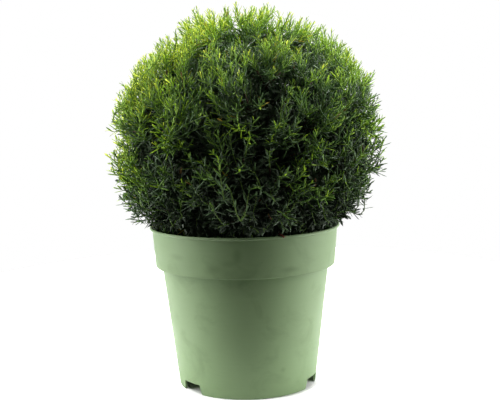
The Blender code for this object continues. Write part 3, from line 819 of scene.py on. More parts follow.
@dataclass
class GrowthRule:
    """The plant's seeded growth: trunk, boughs, stems, twigs, leading shoots and side shoots."""

    seed: int = 28
    fit: float = 0.3 * MM
    centre_x: float = 6.3 * MM
    centre_z: float = 349.3 * MM
    ball_radius: float = 201 * MM
    outline_spread: float = 11 * MM
    stray_reach: float = 7 * MM
    stray_share: float = 0.2
    needle_reach: float = 219 * MM
    underside_height: float = 238 * MM
    underside_rise: float = 0.16
    mouth_radius: float = 127 * MM
    mouth_floor: float = 220 * MM
    heart_radius: float = 112 * MM
    trunk_radius: float = 11 * MM
    trunk_tip_radius: float = 4.2 * MM
    bough_tip_reach: float = 88 * MM
    bough_radius: float = 4.6 * MM
    bough_tip_radius: float = 2.9 * MM
    bough_stagger: float = 11 * MM
    straight_run: float = 4 * MM
    stem_fork_reach: float = 120 * MM
    twig_reach: float = 142 * MM
    twig_spread: float = math.radians(14)
    twigs_round: int = 5
    twig_sink: float = math.radians(5)
    twig_radius: float = 1.9 * MM
    shoots_on_sphere: int = 330
    shoot_jitter: float = math.radians(3.0)
    shortest_reach: float = 150 * MM
    shoot_radius: float = 1.5 * MM
    shoot_tip_radius: float = 0.6 * MM
    side_shoots_on_sphere: int = 1650
    side_jitter: float = math.radians(3.0)
    side_drop: float = 1 * MM
    side_scatter: float = 14 * MM
    side_stray_share: float = 0.12
    side_stray_reach: float = 14 * MM
    side_furthest: float = 211 * MM
    side_shoot_length: float = 52 * MM
    side_shoot_radius: float = 0.85 * MM
    front_share: float = 0.5
    hollow_depth: float = 50 * MM
    hollows_across: float = 5.5
    flush_strength: float = 1.5
    spray_variety: float = 0.75
    flushes_across: float = 6.5
    # Painted light: sprays facing this way are dealt lighter, younger tones.
    painted_light_bearing: float = math.radians(-88)
    painted_light_elevation: float = math.radians(22)
    painted_light_gain: float = 6.5
    fork_share: float = 0.65
    fork_length: float = 25 * MM
    lump_height: float = 5 * MM
    lumps_across: float = 2.6
    swells: tuple[tuple[float, float, float, float], ...] = (
        (90, 37, 26, 9 * MM), (-90, 53, 15, -4 * MM), (-90, 30, 14, 3 * MM), (90, 77, 11, -4 * MM),
        (-90, 82, 14, 4 * MM), (90, 4, 13, -15 * MM), (90, -27, 15, -24 * MM), (-90, -4, 14, -9 * MM),
        (-90, -22, 8, -7 * MM), (-90, -34, 9, 11 * MM),
    )
    inner_on_sphere: int = 3900
    inner_nearest: float = 136 * MM
    inner_furthest: float = 172 * MM
    inner_length: float = 38 * MM
    inner_slant: float = math.radians(100)
    side_knit: float = 0.05
    inner_knit: float = 0.16
    thin_bearing: float = math.radians(82)
    thin_elevation: float = math.radians(-30)
    thin_spread: float = math.radians(22)
    thin_share: float = 0.15
    low_thinning: float = 0.8

    def __post_init__(self) -> None:
        """Take the trunk's foot and tip from the frame and plan the masses."""
        low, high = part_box("trunk")
        self.ground = low.z
        self.trunk_tip_height = high.z
        self.centre = Vector((self.centre_x, 0.0, self.centre_z))
        self.lean = Vector((3 * MM, -2 * MM, 0.0))
        self.sway = Vector((2.5 * MM, -1.5 * MM, 0.0))
        self.bough_foot = {"upper": 300 * MM, "lower": 238 * MM}
        self.bough_rise = {"upper": 0.9, "lower": 0.75}
        self.masses = []
        for ring, count, elevation, first in (
                ("top", 1, 90.0, 0.0), ("upper", 5, 25.0, 18.0), ("lower", 6, -20.0, 0.0)):
            for number in range(count):
                bearing = math.radians(first + 360.0 * number / count)
                axis = direction(bearing, math.radians(elevation))
                self.masses.append(Mass(ring, number + 1, count, axis))

    def trunk_axis(self, height: float) -> Vector:
        """Centre of the trunk at a height."""
        share = (height - self.ground) / (self.trunk_tip_height - self.ground)
        return UP * height + self.sway * math.sin(math.tau * share) + self.lean * share

    def underside(self, reach: float) -> float:
        """Lowest height that foliage comes down to at a distance from the pot's axis."""
        if reach < self.mouth_radius:
            return self.mouth_floor
        return self.underside_height + self.underside_rise * (reach - self.mouth_radius)

    def clear_below(self, point: Vector) -> bool:
        """Say whether a point is above the ball's underside, or inside the pot's mouth."""
        return point.z > self.underside(math.hypot(point.x, point.y))

    def outline_radius(self, outward: Vector) -> float:
        """Radius of the clipped ball in a direction, less where the underside cuts it short."""
        reach = self.ball_radius
        while reach > self.heart_radius / 2 and not self.clear_below(self.centre + outward * reach):
            reach -= MM
        return reach

    def spread(self, outward: Vector, share: float) -> Vector:
        """Lean a direction away from its mass's axis, so that neighbouring masses knit together."""
        axis = self.owner(outward).axis
        return (outward + share * (outward - axis * axis.dot(outward))).normalized()

    def owner(self, outward: Vector) -> Mass:
        """The mass whose space a direction lies in."""
        return max(self.masses, key=lambda mass: mass.axis.dot(outward))

    def tip_of_limb(self, mass: Mass) -> tuple[Vector, Vector]:
        """Where the bough or trunk hands over to a mass, and the way it points there."""
        if mass.ring == "top":
            tip = self.trunk_axis(self.trunk_tip_height)
            return tip, (tip - self.trunk_axis(self.trunk_tip_height - 5 * MM)).normalized()
        return self.centre + mass.axis * self.bough_tip_reach, (mass.axis + 0.25 * UP).normalized()

    def bough(self, mass: Mass) -> Limb:
        """The bough that carries a mass, from the trunk's middle to its tip."""
        tip, way = self.tip_of_limb(mass)
        height = self.bough_foot[mass.ring] + self.bough_stagger * ((mass.number * 2) % 3)
        foot = self.trunk_axis(height)
        flat = Vector((tip.x - foot.x, tip.y - foot.y, 0.0)).normalized()
        start_way = (flat + self.bough_rise[mass.ring] * UP).normalized()
        length = (tip - foot).length
        path = bezier(foot, start_way * length * 0.35, tip, way * length * 0.3, 16)
        return Limb.tapered(path, self.bough_radius, self.bough_tip_radius, 14)

    def leading_tips(self) -> dict[str, list[Vector]]:
        """Seeded tips of the leading shoots, by mass, from a golden spiral over the whole ball."""
        rng = random.Random(self.seed)
        tips = {mass.suffix: [] for mass in self.masses}
        for index in range(self.shoots_on_sphere):
            height = 1.0 - 2.0 * (index + 0.5) / self.shoots_on_sphere
            outward = direction(GOLDEN_ANGLE * index, math.asin(height))
            outward = around(outward, self.shoot_jitter * rng.random(), math.tau * rng.random())
            reach = self.outline_radius(outward) - self.outline_spread * rng.random()
            if rng.random() < self.stray_share:
                reach += self.stray_reach * rng.random()
            reach += min(0.0, self.swell(outward))
            tip = self.centre + outward * reach
            if self.clear_below(tip) and reach > self.shortest_reach:
                tips[self.owner(outward).suffix].append(tip)
        return tips

    def lump(self, outward: Vector) -> float:
        """How far the clipped surface bulges or dents in a direction."""
        return self.lump_height * noise.noise(outward * self.lumps_across) + self.swell(outward)

    def swell(self, outward: Vector) -> float:
        """The broader part of the bulges and dents, which all the shoots follow."""
        rise = 0.0
        for bearing, elevation, spread, height in self.swells:
            way = direction(math.radians(bearing), math.radians(elevation))
            rise += height * math.exp(-(math.degrees(outward.angle(way)) / spread) ** 2)
        return rise

    def flush(self, outward: Vector) -> float:
        """How much younger or older than the rest the sprays are in a direction, in upright streaks, with lighter
        tones as painted light on the side that faces the light.
        """
        drawn = Vector((outward.x, outward.y, 0.45 * outward.z))
        drift = noise.noise(drawn * self.flushes_across + Vector((7.0, 2.0, 5.0)))
        # Painted light: sprays facing the upper left, where the light falls, get lighter tones.
        painted_light_share = max(0.0, outward.dot(direction(self.painted_light_bearing, self.painted_light_elevation)) - 0.5)
        return self.flush_strength * drift + self.painted_light_gain * painted_light_share

    def hollow(self, outward: Vector) -> float:
        """Depth of the shaded hollows between the sprays in a direction."""
        drawn = Vector((outward.x, outward.y, 0.7 * outward.z))
        pattern = noise.noise(drawn * self.hollows_across + Vector((3.0, 1.0, 2.0)))
        return self.hollow_depth * min(1.0, max(0.0, 3.2 * pattern - 0.1))

    def side_tips(self) -> dict[str, list[Vector]]:
        """Seeded tips of the side shoots, by mass: most near the outline, some sunk in hollows."""
        rng = random.Random(self.seed + 1)
        thin_way = direction(self.thin_bearing, self.thin_elevation)
        tips = {mass.suffix: [] for mass in self.masses}
        for index in range(self.side_shoots_on_sphere):
            height = 1.0 - 2.0 * (index + 0.5) / self.side_shoots_on_sphere
            outward = direction(GOLDEN_ANGLE * index + 1.0, math.asin(height))
            outward = around(outward, self.side_jitter * rng.random(), math.tau * rng.random())
            sunk = self.side_drop + self.side_scatter * rng.random() + self.hollow(outward) - self.lump(outward)
            if rng.random() < self.side_stray_share:
                sunk -= self.side_stray_reach * rng.random()
            fuller = max(2.0 * outward.z, 2.2 * abs(outward.x) - 1.1)
            share = self.front_share + (1.0 - self.front_share) * min(1.0, max(0.0, fuller))
            share -= self.low_thinning * max(0.0, -0.25 - outward.z) * (1.0 - abs(outward.x))
            if outward.angle(thin_way) < self.thin_spread:
                share = self.thin_share
            thinned = rng.random() > share
            reach = min(self.outline_radius(outward) - sunk, self.side_furthest)
            tip = self.centre + self.spread(outward, self.side_knit) * reach
            if self.clear_below(tip) and reach > self.shortest_reach and not thinned:
                tips[self.owner(outward).suffix].append(tip)
        return tips

    def inner_tips(self) -> dict[str, list[Vector]]:
        """Seeded tips of the short shaded shoots that fill the inside, by mass."""
        rng = random.Random(self.seed + 2)
        tips = {mass.suffix: [] for mass in self.masses}
        for index in range(self.inner_on_sphere):
            height = 1.0 - 2.0 * (index + 0.5) / self.inner_on_sphere
            outward = direction(GOLDEN_ANGLE * index + 2.0, math.asin(height))
            reach = self.inner_nearest + (self.inner_furthest - self.inner_nearest) * rng.random()
            reach = min(reach, self.outline_radius(outward) - self.side_drop)
            tip = self.centre + self.spread(outward, self.inner_knit) * reach
            if self.clear_below(tip) and reach > self.stem_fork_reach:
                tips[self.owner(outward).suffix].append(tip)
        return tips

    def inner_limbs(self, mass: Mass) -> tuple[list[Limb], list[Vector]]:
        """Stem of a mass and the twigs that fan out of it.

        Args:
            mass: The mass to branch.

        Returns:
            The limbs and the twigs' directions from the ball's centre.
        """
        foot, way = self.tip_of_limb(mass)
        fork = self.centre + mass.axis * self.stem_fork_reach
        stem = bezier(foot, way * 10 * MM, fork, mass.axis * 8 * MM, 6)
        limbs = [Limb.tapered(stem, self.bough_tip_radius, self.twig_radius, 8)]
        heads = [mass.axis]
        for number in range(self.twigs_round):
            heads.append(around(mass.axis, self.twig_spread, math.tau * number / self.twigs_round))
        for head in heads:
            lowered = (head - math.tan(self.twig_sink) * UP).normalized()
            end = self.centre + lowered * self.twig_reach
            start = fork - mass.axis * 4 * MM
            path = bezier(start, (fork - foot) * 0.35, end, lowered * 8 * MM, 6)
            limbs.append(Limb.tapered(path, self.twig_radius, self.shoot_radius, 6))
        return limbs, heads

    def leaders(self, mass: Mass, tips: list[Vector], limbs: list[Limb],
                heads: list[Vector]) -> list[Shoot]:
        """Leading shoots of a mass, each from the nearest twig's end to its tip.

        Args:
            mass: The mass.
            tips: Tips of its leading shoots.
            limbs: Its stem and twigs.
            heads: Directions of its twigs.

        Returns:
            The leading shoots.
        """
        shoots = []
        for tip in tips:
            outward = (tip - self.centre).normalized()
            nearest = max(range(len(heads)), key=lambda n: heads[n].dot(outward))
            start = limbs[nearest + 1].path[-1]
            pull = (start - self.centre).normalized() * 18 * MM
            path = bezier(start, pull, tip, (outward + 0.35 * UP).normalized() * 16 * MM, 10)
            shoots.append(Shoot(path, self.shoot_radius, Growth.LEADING, 0.0, 0.22))
        return shoots

    def side_shoots(self, tips: list[Vector], leaders: list[Shoot], rng: random.Random) -> list[Shoot]:
        """Side shoots of a mass: each leaves a leading shoot below it and curves up to its tip.

        Args:
            tips: Tips of the side shoots.
            leaders: Leading shoots of the mass.
            rng: Source of seeded randomness.

        Returns:
            The side shoots.
        """
        shoots = []
        ways = [(leader.path[-1] - self.centre).normalized() for leader in leaders]
        ages = [rng.gauss(0.0, self.spray_variety) for _ in leaders]
        for tip in tips:
            outward = (tip - self.centre).normalized()
            below = (outward - 0.2 * UP).normalized()
            nearest = max(range(len(ways)), key=lambda n: ways[n].dot(below))
            length = self.side_shoot_length * rng.uniform(0.8, 1.25)
            start = min(leaders[nearest].path, key=lambda p: abs((p - tip).length - length))
            gap = tip - start
            sway = Vector((rng.uniform(-1, 1), rng.uniform(-1, 1), rng.uniform(-1, 1))) * 0.25
            steep = 1.0 - abs(outward.z)
            rise = 0.5 + (2.0 * rng.random() + 2.5 * max(0.0, outward.z)) * steep - 3.2 * max(0.0, -outward.z)
            end_way = (outward + rise * UP + sway).normalized()
            start_way = (gap.normalized() + 0.8 * steep * outward - 0.35 * UP + sway).normalized()
            path = bezier(start, start_way * gap.length * 0.35, tip, end_way * gap.length * 0.45, 6)
            youth = rng.gauss(0.0, 0.25) + (1.3 if rng.random() < 0.07 else 0.0)
            youth += ages[nearest] + self.flush(outward)
            shoots.append(Shoot(path, self.side_shoot_radius, Growth.SIDE, youth, 0.14))
            if rng.random() < self.fork_share:
                shoots.append(self.forked(path, youth, rng))
        return shoots

    def forked(self, path: list[Vector], youth: float, rng: random.Random) -> Shoot:
        """A shorter shoot that leaves a side shoot half-way and spreads aside.

        Args:
            path: Path of the side shoot.
            youth: Youth of the side shoot.
            rng: Source of seeded randomness.

        Returns:
            The forked shoot.
        """
        start = path[rng.choice((2, 3))]
        along = (path[-1] - start).normalized()
        way = around(along, math.radians(rng.uniform(30, 55)), math.tau * rng.random())
        length = self.fork_length * rng.uniform(0.75, 1.25)
        tip = start + way * length + UP * 0.12 * length
        over = (tip - self.centre).length - self.ball_radius
        if over > 0.0:
            tip -= (tip - self.centre).normalized() * over
        if not self.clear_below(tip):
            tip = start + along * 0.5 * length
        end_pull = (along + 0.5 * UP).normalized() * length * 0.35
        curve = bezier(start, way * length * 0.35, tip, end_pull, 4)
        return Shoot(curve, 0.8 * self.side_shoot_radius, Growth.SIDE, youth, 0.08)

    def inner_shoots(self, tips: list[Vector], leaders: list[Shoot], limbs: list[Limb],
                     rng: random.Random) -> list[Shoot]:
        """Short shaded shoots that leave the nearest twig or leading shoot and fill the inside.

        Args:
            tips: Tips of the inner shoots.
            leaders: Leading shoots of the mass.
            limbs: Stem and twigs of the mass.
            rng: Source of seeded randomness.

        Returns:
            The inner shoots.
        """
        roots = [point for leader in leaders for point in leader.path[:-2]]
        roots += [point for limb in limbs for point in limb.path]
        shoots = []
        for tip in tips:
            outward = (tip - self.centre).normalized()

            def misfit(root: Vector) -> float:
                gap = root - tip
                return abs(gap.length - self.inner_length) + 2.0 * max(0.0, outward.dot(gap) + 14 * MM)

            start = min(roots, key=misfit)
            gap = tip - start
            end_way = around(outward, self.inner_slant * rng.random(), math.tau * rng.random())
            path = bezier(start, gap * 0.2, tip, end_way * gap.length * 0.7, 5)
            shoots.append(Shoot(path, 0.6 * self.side_shoot_radius, Growth.INNER, -0.6, 0.06))
        return shoots


# Needles

@dataclass(frozen=True)
class NeedleShape:
    """Outline of a needle as corners (along, across, proud) and faces, with its pale faces."""

    corners: tuple[tuple[float, float, float], ...]
    faces: tuple[tuple[int, ...], ...]
    pale: tuple[bool, ...]


FULL_NEEDLE = NeedleShape(
    corners=(
        (0.0, 0.0, 0.0),
        (0.09, -0.85, 0.0), (0.09, 0.85, 0.0), (0.09, 0.0, 0.42),
        (0.74, -1.0, 0.0), (0.74, 1.0, 0.0), (0.74, 0.0, 0.48),
        (1.0, 0.0, 0.05),
    ),
    faces=(
        (0, 2, 1), (0, 3, 2), (0, 1, 3),
        (1, 2, 5, 4), (2, 3, 6, 5), (3, 1, 4, 6),
        (7, 4, 5), (7, 5, 6), (7, 6, 4),
    ),
    pale=(True, False, False, True, False, False, True, False, False),
)
SHADED_NEEDLE = NeedleShape(
    corners=(
        (0.0, 0.0, 0.0),
        (0.12, -0.9, 0.0), (0.12, 0.9, 0.0),
        (0.72, -1.0, 0.0), (0.72, 1.0, 0.0),
        (1.0, 0.0, 0.0),
    ),
    faces=((0, 2, 1), (1, 2, 4, 3), (3, 4, 5)),
    pale=(False, False, False),
)


@dataclass
class NeedleMaker:
    """Yew needles: flat, linear, ridged on top and pale beneath, set round each shoot in a spiral."""

    length: float = 15.6 * MM
    low_width: float = 2.75 * MM
    high_width: float = 1.6 * MM
    low_pitch: float = 3.3 * MM
    high_pitch: float = 2.2 * MM
    inner_pitch: float = 2.3 * MM
    inner_wider: float = 1.5
    low_root_angle: float = math.radians(68)
    high_root_angle: float = math.radians(56)
    low_tip_angle: float = math.radians(42)
    high_tip_angle: float = math.radians(30)
    curl: float = 0.1
    comb: float = 0.85
    rim_inside: float = 133 * MM
    rim_outside: float = 146 * MM
    rim_top: float = 236.5 * MM
    droop: float = 8 * MM
    brown_share: float = 0.002
    gold_share: float = 0.005

    def rows(self, shoot: Shoot, rule: GrowthRule, rng: np.random.Generator) -> dict[str, np.ndarray]:
        """Work out the needles of one shoot.

        Args:
            shoot: The shoot.
            rule: The growth rule, which bounds the foliage.
            rng: Source of seeded randomness.

        Returns:
            Arrays by name: root, way, face, length, width and tone.
        """
        path = np.array([tuple(point) for point in shoot.path])
        steps = np.diff(path, axis=0)
        lengths = np.linalg.norm(steps, axis=1)
        along = np.concatenate([[0.0], np.cumsum(lengths)])
        total = along[-1]
        start = shoot.bare * total
        inner = shoot.kind is Growth.INNER
        high = min(1.0, max(0.0, 0.2 + 1.3 * (path[-1][2] - rule.centre.z) / rule.ball_radius))
        pitch = self.low_pitch + (self.high_pitch - self.low_pitch) * high
        places = np.arange(start, total, self.inner_pitch if inner else pitch)
        count = len(places)
        share = (places - start) / max(total - start, MM)
        root = np.stack([np.interp(places, along, path[:, axis]) for axis in range(3)], axis=1)
        middles = (along[1:] + along[:-1]) / 2
        ways = steps / lengths[:, None]
        tangent = np.stack([np.interp(places, middles, ways[:, axis]) for axis in range(3)], axis=1)
        tangent /= np.linalg.norm(tangent, axis=1)[:, None]
        up = np.array([0.0, 0.0, 1.0])
        side = np.cross(tangent, up) + np.array([1e-4, 0.0, 0.0])
        side /= np.linalg.norm(side, axis=1)[:, None]
        other = np.cross(side, tangent)
        level = 1.0 - np.abs(tangent[:, 2])
        turn = rng.uniform(0.0, math.tau) + GOLDEN_ANGLE * np.arange(count)
        turn -= 0.5 * self.comb * level * np.sin(2.0 * turn)
        radial = np.cos(turn)[:, None] * side + np.sin(turn)[:, None] * other
        root_angle = self.low_root_angle + (self.high_root_angle - self.low_root_angle) * high
        tip_angle = self.low_tip_angle + (self.high_tip_angle - self.low_tip_angle) * high
        angle = root_angle + (tip_angle - root_angle) * share ** 1.6
        angle += rng.normal(0.0, math.radians(7), count)
        way = radial * np.sin(angle)[:, None] + tangent * np.cos(angle)[:, None]
        face = tangent + 0.9 * level[:, None] * up
        face -= way * np.sum(face * way, axis=1)[:, None]
        face /= np.linalg.norm(face, axis=1)[:, None]
        swell = 0.7 + 0.5 * np.sin(math.pi * np.clip(share * 0.85 + 0.1, 0, 1)) - 0.4 * share ** 3
        length = self.length * swell * rng.uniform(0.8, 1.14, count) * (1.0 - 0.15 * high)
        width = self.low_width + (self.high_width - self.low_width) * high
        width *= rng.uniform(0.82, 1.1, count) * (1.0 - 0.25 * share ** 4)
        width *= self.inner_wider if inner else 1.0
        tips = root + way * length[:, None]
        keep = self.inside(tips, rule)
        tone = self.tones(shoot, share, tips, rule, rng)
        return {
            "root": root[keep], "way": way[keep], "face": face[keep],
            "length": length[keep], "width": width[keep], "tone": tone[keep],
        }

    def inside(self, tips: np.ndarray, rule: GrowthRule) -> np.ndarray:
        """Say which needle tips stay clear of the pot, above the underside and within reach."""
        reach = np.hypot(tips[:, 0], tips[:, 1])
        below = rule.underside_height + rule.underside_rise * (reach - rule.mouth_radius) - self.droop
        below = np.where(reach < self.rim_outside, self.rim_top, below)
        below = np.where(reach < self.rim_inside, rule.mouth_floor - self.droop, below)
        offset = np.linalg.norm(tips - np.array(rule.centre), axis=1)
        return (tips[:, 2] > below) & (offset < rule.needle_reach)

    def tones(self, shoot: Shoot, share: np.ndarray, tips: np.ndarray, rule: GrowthRule,
              rng: np.random.Generator) -> np.ndarray:
        """Deal out tones: darker inside and low down as painted shade, lighter on top partly as younger growth and
        partly as painted light, lighter in belts and on the left as painted light, and younger towards a shoot's
        tip.

        Args:
            shoot: The shoot.
            share: Place of each needle along the shoot, from 0 to 1.
            tips: Tips of the needles.
            rule: The growth rule, for the ball's size.
            rng: Source of seeded randomness.

        Returns:
            The tone of each needle.
        """
        count = len(share)
        offset = tips - np.array(rule.centre)
        high = offset[:, 2] / rule.ball_radius
        deep = (rule.ball_radius - np.linalg.norm(offset, axis=1)) / (40 * MM)
        # Tips are younger and lighter. Low down their gain is smaller, as painted shade, and the rise with height
        # is partly younger growth and partly painted light.
        tip_gain = 1.6 * np.clip(0.8 + 0.9 * high, 0.2, 1.0)
        # Painted shade: needles low on the ball get darker tones, where the ball's shade falls.
        painted_low_shade = 5.0 * np.clip(-0.34 - high, 0.0, 1.0)
        # Painted light and shade: a lighter belt just below the middle and darker belts above it.
        painted_light_belts = 0.5 * np.exp(-(((high + 0.14) / 0.18) ** 2)) - 0.9 * np.exp(-(((high - 0.36) / 0.13) ** 2))
        painted_light_belts -= 0.35 * np.exp(-(((high - 0.8) / 0.12) ** 2))
        level = 2.25 + 2.4 * high + painted_light_belts - painted_low_shade + shoot.youth + tip_gain * share ** 2
        # Painted shade: needles deeper inside the ball get darker tones, less so near the top.
        level -= (2.0 - 1.2 * np.clip(1.6 * high - 0.6, 0.0, 1.0)) * np.clip(deep, -0.2, 1.4)
        # Painted light: the tone cap is raised on the left side, where the light falls.
        painted_left_light = np.clip(-offset[:, 0] / rule.ball_radius, 0.0, 1.0) ** 2
        level = np.minimum(level, 3.4 + 2.0 * high + painted_light_belts + 2.4 * painted_left_light)
        # Inner needles: painted shade, darkest low down and lighter towards the top, where more light falls.
        if shoot.kind is Growth.INNER:
            level = 0.4 + 2.8 * np.clip(1.3 * high - 0.3, 0.0, 1.0) + 0.3 * share ** 2
        level += rng.normal(0.0, 0.3, count)
        tone = np.clip(np.round(level), Tone.SHADED.value, Tone.LIME.value).astype(np.int32)
        chance = rng.random(count)
        tone[chance < self.gold_share] = Tone.GOLD.value
        tone[chance < self.brown_share] = Tone.BROWN.value
        return tone

    def mesh(self, name: str, shapes: list[tuple[NeedleShape, list[dict[str, np.ndarray]]]]) -> bpy.types.Mesh:
        """Join the needles of many shoots into one mesh.

        Args:
            name: Name of the mesh.
            shapes: Needle shapes, each with the needles of the shoots that carry it.

        Returns:
            The mesh, with a material index for each face.
        """
        all_corners = []
        all_loops = []
        all_sizes = []
        all_slots = []
        first = 0
        for shape, batches in shapes:
            rows = {key: np.concatenate([batch[key] for batch in batches]) for key in batches[0]}
            count = len(rows["root"])
            way, face = rows["way"], rows["face"]
            side = np.cross(way, face)
            length = rows["length"][:, None]
            half = rows["width"][:, None] / 2
            corners = np.empty((count, len(shape.corners), 3))
            for index, (along, across, proud) in enumerate(shape.corners):
                corners[:, index] = (
                    rows["root"] + way * length * along + side * half * across
                    + face * (half * proud + length * self.curl * along * along)
                )
            pattern = np.array([corner for corner_list in shape.faces for corner in corner_list])
            offsets = first + (np.arange(count) * len(shape.corners))[:, None]
            first += count * len(shape.corners)
            tone = np.repeat(rows["tone"][:, None], len(shape.faces), axis=1)
            pale_tone = len(Tone) + (tone >= YOUNG_UNDERSIDE_FROM).astype(np.int32)
            pale = np.array(shape.pale)[None, :] & (tone < Tone.GOLD.value)
            all_corners.append(corners.reshape(-1, 3))
            all_loops.append((pattern[None, :] + offsets).ravel())
            all_sizes.append(np.tile([len(corner_list) for corner_list in shape.faces], count))
            all_slots.append(np.where(pale, pale_tone, tone).ravel())
        sizes = np.concatenate(all_sizes)
        mesh = bpy.data.meshes.new(name)
        mesh.vertices.add(first)
        mesh.vertices.foreach_set("co", np.concatenate(all_corners).ravel())
        mesh.loops.add(int(sizes.sum()))
        mesh.loops.foreach_set("vertex_index", np.concatenate(all_loops).astype(np.int32))
        mesh.polygons.add(len(sizes))
        mesh.polygons.foreach_set("loop_start", (np.cumsum(sizes) - sizes).astype(np.int32))
        mesh.polygons.foreach_set("material_index", np.concatenate(all_slots).astype(np.int32))
        mesh.update(calc_edges=True)
        return mesh


@dataclass
class Crown:
    """The clipped ball: barked trunk and boughs, twigs and the needles of each mass."""

    rule: GrowthRule
    needles: NeedleMaker
    flare_height: float = 16 * MM
    flare_reach: float = 0.75
    flare_roots: int = 5
    bark_voxel: float = 1.6 * MM
    bark_relief: float = 0.7 * MM

    def trunk(self) -> Limb:
        """The trunk as one limb with close rings."""
        rule = self.rule
        path = []
        radii = []
        rings = 60
        for ring in range(rings):
            share = ring / (rings - 1)
            height = rule.ground + (rule.trunk_tip_height - rule.ground) * share
            low = max(0.0, 1.0 - (height - rule.ground) / self.flare_height)
            path.append(rule.trunk_axis(height))
            radius = rule.trunk_radius + (rule.trunk_tip_radius - rule.trunk_radius) * share
            radii.append(radius * (1.0 + 0.6 * self.flare_reach * low * low))
        return Limb(path, radii, 24)

    def build_bark(self) -> bpy.types.Object:
        """Join trunk and boughs, fuse them by a voxel remesh and raise the bark's plates."""
        rule = self.rule
        limbs = [self.trunk()]
        limbs += [rule.bough(mass) for mass in rule.masses if mass.ring != "top"]
        bark = link_mesh("trunk_and_boughs", joined_limbs("trunk_and_boughs", limbs))
        remesh = bark.modifiers.new("fuse", "REMESH")
        remesh.mode = "VOXEL"
        remesh.voxel_size = self.bark_voxel
        smooth = bark.modifiers.new("ease", "SMOOTH")
        smooth.factor = 0.5
        smooth.iterations = 3
        apply_modifiers(bark)
        ground = rule.ground
        drawn = Vector((1.0, 1.0, 0.3))

        def plates(place: Vector, normal: Vector) -> Vector:
            pattern = noise.noise(place * drawn / (3.2 * MM)) + 0.5 * noise.noise(place / (1.6 * MM))
            ease = min(1.0, max(0.0, (place.z - ground) / (2 * MM)))
            return normal * self.bark_relief * pattern * ease

        displace(bark, plates)
        select_only(bark)
        bpy.ops.object.shade_smooth_by_angle(angle=math.radians(50))
        return bark

    def build(self) -> None:
        """Build and dress the whole crown, mass by mass."""
        rule = self.rule
        bark = self.build_bark()
        bark.data.materials.append(BARK.make())
        boughs = ["trunk"] + ["bough_" + m.suffix for m in rule.masses if m.ring != "top"]
        settle(bark, "trunk_and_boughs", tuple(boughs))
        finishes = [UPPER_FINISHES[tone].make() for tone in Tone]
        finishes += [finish.make() for finish in UNDER_FINISHES]
        leading = rule.leading_tips()
        siding = rule.side_tips()
        filling = rule.inner_tips()
        brown_limbs = []
        green_limbs = []
        for order, mass in enumerate(rule.masses):
            rng = random.Random(rule.seed + 100 + order)
            draws = np.random.default_rng(rule.seed + 200 + order)
            limbs, heads = rule.inner_limbs(mass)
            leaders = rule.leaders(mass, leading[mass.suffix], limbs, heads)
            sides = rule.side_shoots(siding[mass.suffix], leaders, rng)
            inner = rule.inner_shoots(filling[mass.suffix], leaders, limbs, rng)
            brown_limbs += limbs
            for shoot in leaders:
                middle = (shoot.radius + rule.shoot_tip_radius) / 2
                brown_limbs.append(Limb.tapered(shoot.path[:6], shoot.radius, middle, 5))
                green_limbs.append(Limb.tapered(shoot.path[5:], middle, rule.shoot_tip_radius, 5))
            for shoot in inner:
                brown_limbs.append(Limb.tapered(shoot.path, shoot.radius, 0.4 * MM, 3))
            for shoot in sides:
                green_limbs.append(Limb.tapered(shoot.path, shoot.radius, 0.5 * MM, 3))
            full = [self.needles.rows(shoot, rule, draws) for shoot in leaders + sides]
            shaded = [self.needles.rows(shoot, rule, draws) for shoot in inner]
            name = "needles_" + mass.suffix
            shapes = [(FULL_NEEDLE, full), (SHADED_NEEDLE, shaded)]
            piece = link_mesh(name, self.needles.mesh(name, shapes))
            for finish in finishes:
                piece.data.materials.append(finish)
            settle(piece, name, ("mass_" + mass.suffix,))
        twigs = link_mesh("twigs", joined_limbs("twigs", brown_limbs))
        twigs.data.materials.append(TWIG_BARK.make())
        settle(twigs, "twigs")
        shoots = link_mesh("green_shoots", joined_limbs("green_shoots", green_limbs))
        shoots.data.materials.append(GREEN_TWIG.make())
        settle(shoots, "green_shoots")


def joined_limbs(name: str, limbs: list[Limb]) -> bpy.types.Mesh:
    """Join many limbs into one smooth-shaded mesh.

    Args:
        name: Name of the mesh.
        limbs: The limbs.

    Returns:
        The joined mesh.
    """
    corners = []
    faces = []
    for limb in limbs:
        more_corners, more_faces = limb.mesh_lists(len(corners))
        corners += more_corners
        faces += more_faces
    mesh = bpy.data.meshes.new(name)
    mesh.from_pydata(corners, [], faces)
    mesh.shade_smooth()
    return mesh


# Studio

@dataclass(frozen=True)
class Softbox:
    """One soft light panel: where it hangs, what it faces, its size and its power."""

    name: str
    place: tuple[float, float, float]
    target: tuple[float, float, float]
    width: float
    height: float
    power: float


